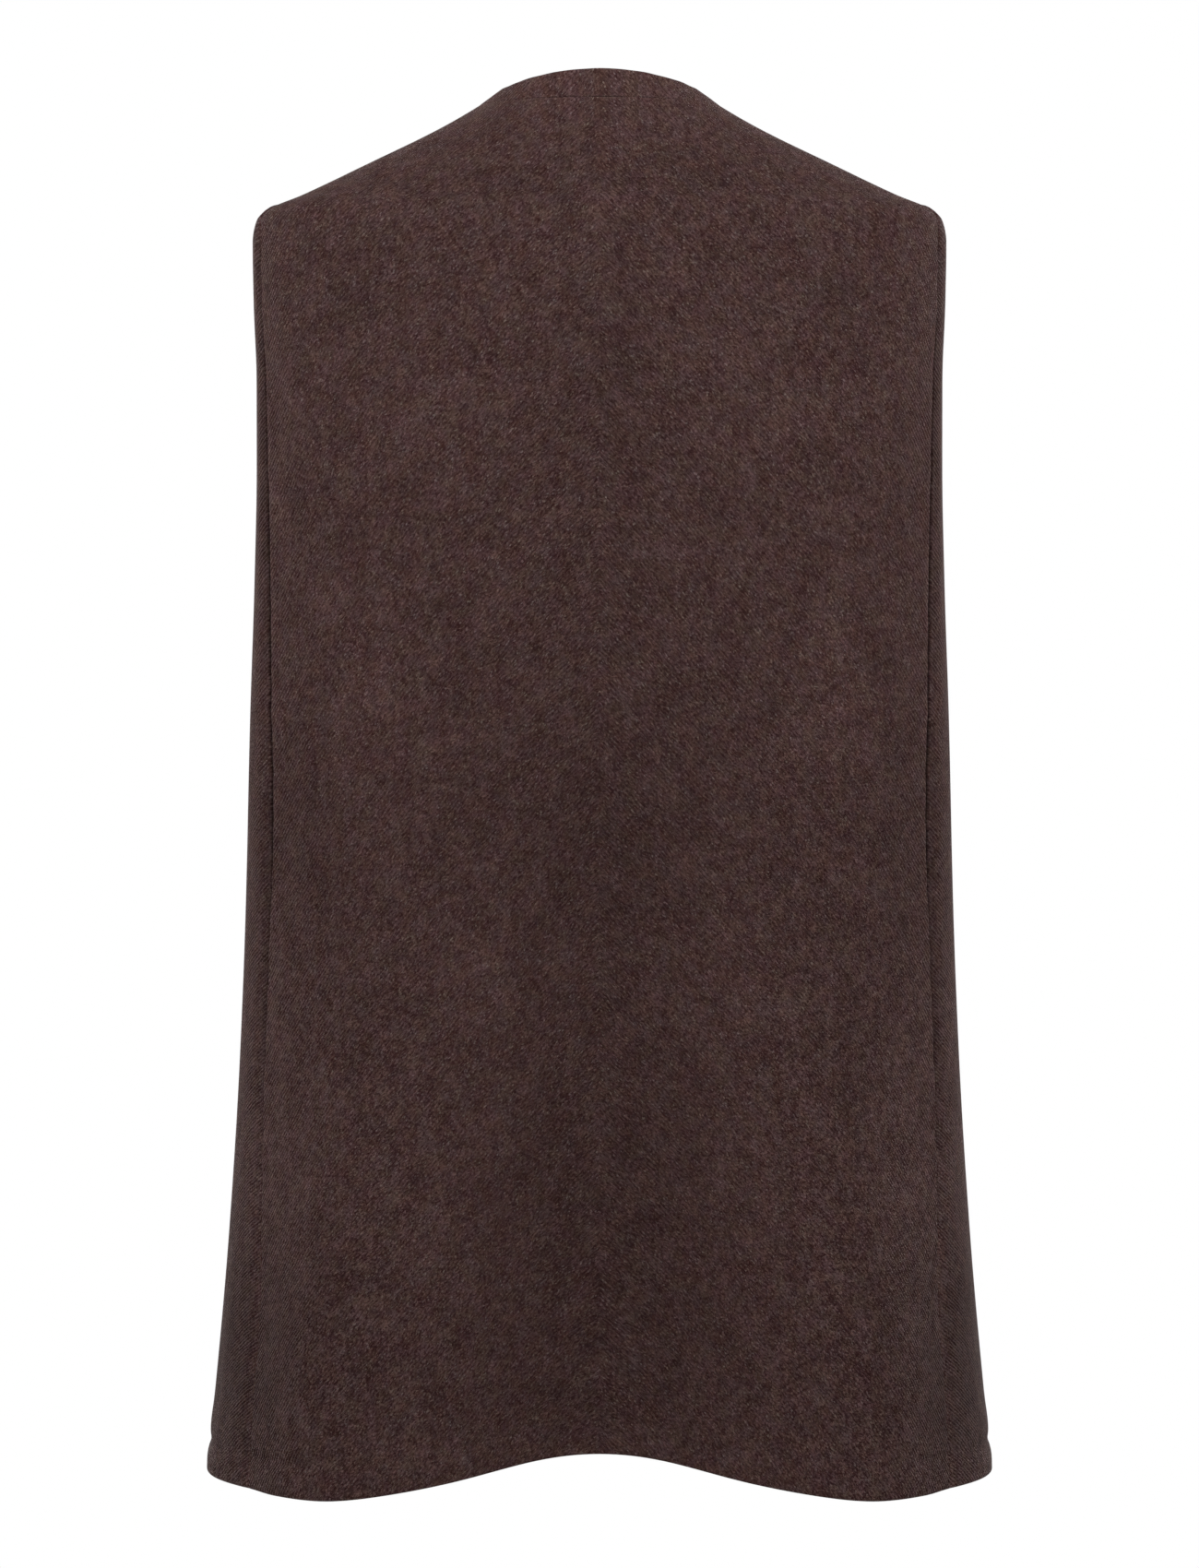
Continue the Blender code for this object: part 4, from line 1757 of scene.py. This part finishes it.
    def colour(self, loom: Loom, place: Wire, lie: Wire, ribs: Wire, floats: Wire) -> Wire:
        """Mixes the fibres' colours.

        The tone, raised to tone_power, takes the colour from dark to pale. Fibres and pins of other
        colours and the drift of the casts come over it, and the nap look, which holds painted light
        and shade, scales it.

        Args:
            loom: the node tree.
            place: the place on the cloth, in millimetres.
            lie: the same, turned to run across and along the wales.
            ribs: the height of the wales.
            floats: the height of the floats.

        Returns:
            The colour.
        """
        draw = loom.specks(lie, self.speck)
        hue = loom.specks(lie, self.fibre)
        tone = self.tone(loom, place, lie, draw.out(0), ribs, floats)
        mix = loom.mix(tone.step_up(*self.tone_range) ** self.tone_power, self.dark, self.pale)
        drawn = [hue.out(0), hue.out(1), hue.out(2), draw.out(1), draw.out(2)]
        for chance, fleck in zip(drawn, self.fibres + self.pins):
            share = chance.step_up(fleck.low, fleck.high) * fleck.strength
            mix = loom.mix(share, mix, fleck.colour)
        first, second = (cast.tint(loom, place) for cast in self.casts)
        tinted = loom.vector("MULTIPLY", mix, loom.vector("MULTIPLY", first, second))
        # Scaled by the nap look: painted light and shade.
        return loom.node(
            "ShaderNodeVectorMath",
            {"operation": "SCALE"},
            {0: tinted, "Scale": loom.attribute("nap") + 1.0},
        ).out(0)

    def dress(self, piece: bpy.types.Object) -> None:
        """Gives a piece its cloth, as a material of its own.

        The relief is the sum of the ribs, the floats, the nap and the lumps, each times its own
        height. To the right of the grain line the fibres are drawn from another place, so that
        they don't mirror as the wales do.

        Args:
            piece: the piece, with its layouts and looks.
        """
        material = bpy.data.materials.new(f"{piece.name}_twill")
        loom = Loom(material)
        place = self.in_millimetres(loom, "cloth")
        weave = self.in_millimetres(loom, "weave")
        drift = loom.vector("MULTIPLY", loom.noise(place, self.drift).out(1), self.drift_reach)
        weave = loom.vector("ADD", weave, drift)
        across, along = self.across(loom, weave)
        right = loom.axes(place)[0].above(0.0)
        lie = loom.node(
            "ShaderNodeCombineXYZ",
            None,
            {0: across + right * self.other_side[0], 1: along + right * self.other_side[1]},
        ).out(0)
        ribs = self.ribs(across)
        floats = self.floats(loom, weave)
        height = (
            ribs * self.rib_relief
            + floats * self.float_relief
            + loom.noise(lie, self.nap).out(0) * self.nap_relief
            + loom.noise(place, self.lump).out(0) * self.lump_relief
        )
        bump = loom.node(
            "ShaderNodeBump", None, {"Strength": 1.0, "Distance": MM, "Height": height}
        ).out(0)
        shader = loom.node(
            "ShaderNodeBsdfPrincipled",
            None,
            {
                "Base Color": self.colour(loom, place, lie, ribs, floats),
                "Roughness": 1.0,
                "Normal": bump,
                "Specular IOR Level": self.shine,
                "Sheen Weight": self.sheen,
                "Sheen Roughness": self.sheen_roughness,
                "Sheen Tint": self.sheen_tint,
            },
        ).out(0)
        loom.node("ShaderNodeOutputMaterial", None, {"Surface": shader})
        piece.data.materials.append(material)

    def in_millimetres(self, loom: Loom, name: str) -> Wire:
        """A place on the cloth from one of the piece's two layouts, in millimetres."""
        metres = loom.node("ShaderNodeUVMap", {"uv_map": name}).out(0)
        return loom.scaled(metres, (1 / MM, 1 / MM, 1 / MM), (0.0, 0.0, 0.0))


@dataclass(frozen=True)
class Lamp:
    """A square soft light: where it hangs, how wide and how strong it is."""

    name: str
    place: tuple[float, float, float]
    size: float
    power: float


@dataclass(frozen=True)
class Studio:
    """A plain white studio: a pale round floor, white surroundings, soft lamps and the camera."""

    camera_place: tuple[float, float, float] = (0.0, -3.0, -0.398)
    lens: float = 118.85
    floor_height: float = -1.38
    floor_radius: float = 2.3
    floor_sides: int = 96
    floor_colour: Colour = (0.70, 0.70, 0.70, 1.0)
    floor_shade: Colour = (0.62, 0.62, 0.61, 1.0)
    floor_roughness: float = 0.9
    floor_grain: float = 9.0
    floor_grain_detail: float = 4.0
    floor_grain_strength: float = 0.05
    aim: tuple[float, float, float] = (0.0, 0.0, -0.40)
    ambient: float = 0.21
    backdrop: float = 5.0
    backdrop_range: tuple[float, float] = (0.75, 0.95)
    lamps: tuple[Lamp, ...] = (
        Lamp("key_lamp", (0.0, -1.5, 1.35), 1.3, 47.5),
        Lamp("left_lamp", (-2.4, -0.6, 0.3), 1.2, 35.5),
        Lamp("right_lamp", (2.4, -0.6, 0.3), 1.2, 35.5),
    )

    def build(self) -> None:
        """Makes the floor, the surroundings, the lamps and the camera."""
        self.make_floor()
        self.make_surroundings()
        for lamp in self.lamps:
            self.hang(lamp)
        camera = bpy.data.cameras.new("camera")
        camera.lens = self.lens
        holder = bpy.data.objects.new("camera", camera)
        holder.location = self.camera_place
        holder.rotation_euler = (math.pi / 2, 0.0, 0.0)
        bpy.context.scene.collection.objects.link(holder)
        bpy.context.scene.camera = holder
        bpy.context.scene.view_settings.view_transform = "Standard"
        log.info("studio: %d lamps", len(self.lamps))

    def make_floor(self) -> None:
        """Makes a disc of matt white paint: its points are the radius times cosine and sine."""
        turn = np.linspace(0.0, 2 * np.pi, self.floor_sides, endpoint=False)
        rim = self.floor_radius * np.stack([np.cos(turn), np.sin(turn)], axis=1)
        points = np.column_stack([rim, np.full(len(rim), self.floor_height)])
        mesh = bpy.data.meshes.new("floor")
        mesh.from_pydata(points.tolist(), [], [list(range(len(points)))])
        floor = bpy.data.objects.new("floor", mesh)
        bpy.context.scene.collection.objects.link(floor)
        material = bpy.data.materials.new("floor_paint")
        loom = Loom(material)
        where = loom.node("ShaderNodeTexCoord").out("Object")
        grain = loom.node(
            "ShaderNodeTexNoise",
            None,
            {"Vector": where, "Scale": self.floor_grain, "Detail": self.floor_grain_detail},
        ).out(0)
        paint = loom.mix(grain * self.floor_grain_strength, self.floor_colour, self.floor_shade)
        shader = loom.node(
            "ShaderNodeBsdfPrincipled",
            None,
            {"Base Color": paint, "Roughness": self.floor_roughness},
        ).out(0)
        loom.node("ShaderNodeOutputMaterial", None, {"Surface": shader})
        mesh.materials.append(material)

    def make_surroundings(self) -> None:
        """Makes it white all round, as in a light tent, and brightest beyond the cape's front.

        The camera sees plain white. Everything else is lit by ambient, which rises to backdrop
        where the way to the surroundings points forward.
        """
        world = bpy.data.worlds.new("white_room")
        loom = Loom(world)
        seen = loom.node("ShaderNodeLightPath").out("Is Camera Ray")
        way = loom.node("ShaderNodeTexCoord").out("Generated")
        beyond = loom.axes(way)[1].step_up(*self.backdrop_range)
        light = beyond * (self.backdrop - self.ambient) + self.ambient
        strength = seen * (1.0 - light) + light
        sky = loom.node(
            "ShaderNodeBackground", None, {"Color": WHITE, "Strength": strength}
        ).out(0)
        loom.node("ShaderNodeOutputWorld", None, {"Surface": sky})
        bpy.context.scene.world = world

    def hang(self, lamp: Lamp) -> None:
        """Hangs one soft light and turns it to the cape.

        Args:
            lamp: the light.
        """
        light = bpy.data.lights.new(lamp.name, "AREA")
        light.shape = "SQUARE"
        light.size = lamp.size
        light.energy = lamp.power
        holder = bpy.data.objects.new(lamp.name, light)
        holder.location = lamp.place
        way = Vector(self.aim) - Vector(lamp.place)
        holder.rotation_euler = way.to_track_quat("-Z", "Y").to_euler()
        bpy.context.scene.collection.objects.link(holder)


def main() -> None:
    """Builds the studio and the four pieces, and writes down how large the cape came out."""
    logging.basicConfig(level=logging.INFO, format="%(name)s: %(message)s")
    Studio().build()
    form = CapeForm()
    cloth = NappedTwill()
    free = Edge()
    BackPanel(form).build(cloth)
    FrontPanel(form, "front_right", hand=Hand.RIGHT, right_edge=free).build(cloth)
    FrontPanel(form, "front_left", hand=Hand.LEFT, left_edge=free).build(cloth)
    NeckBand(form).build(cloth)


if __name__ == "__main__":
    main()
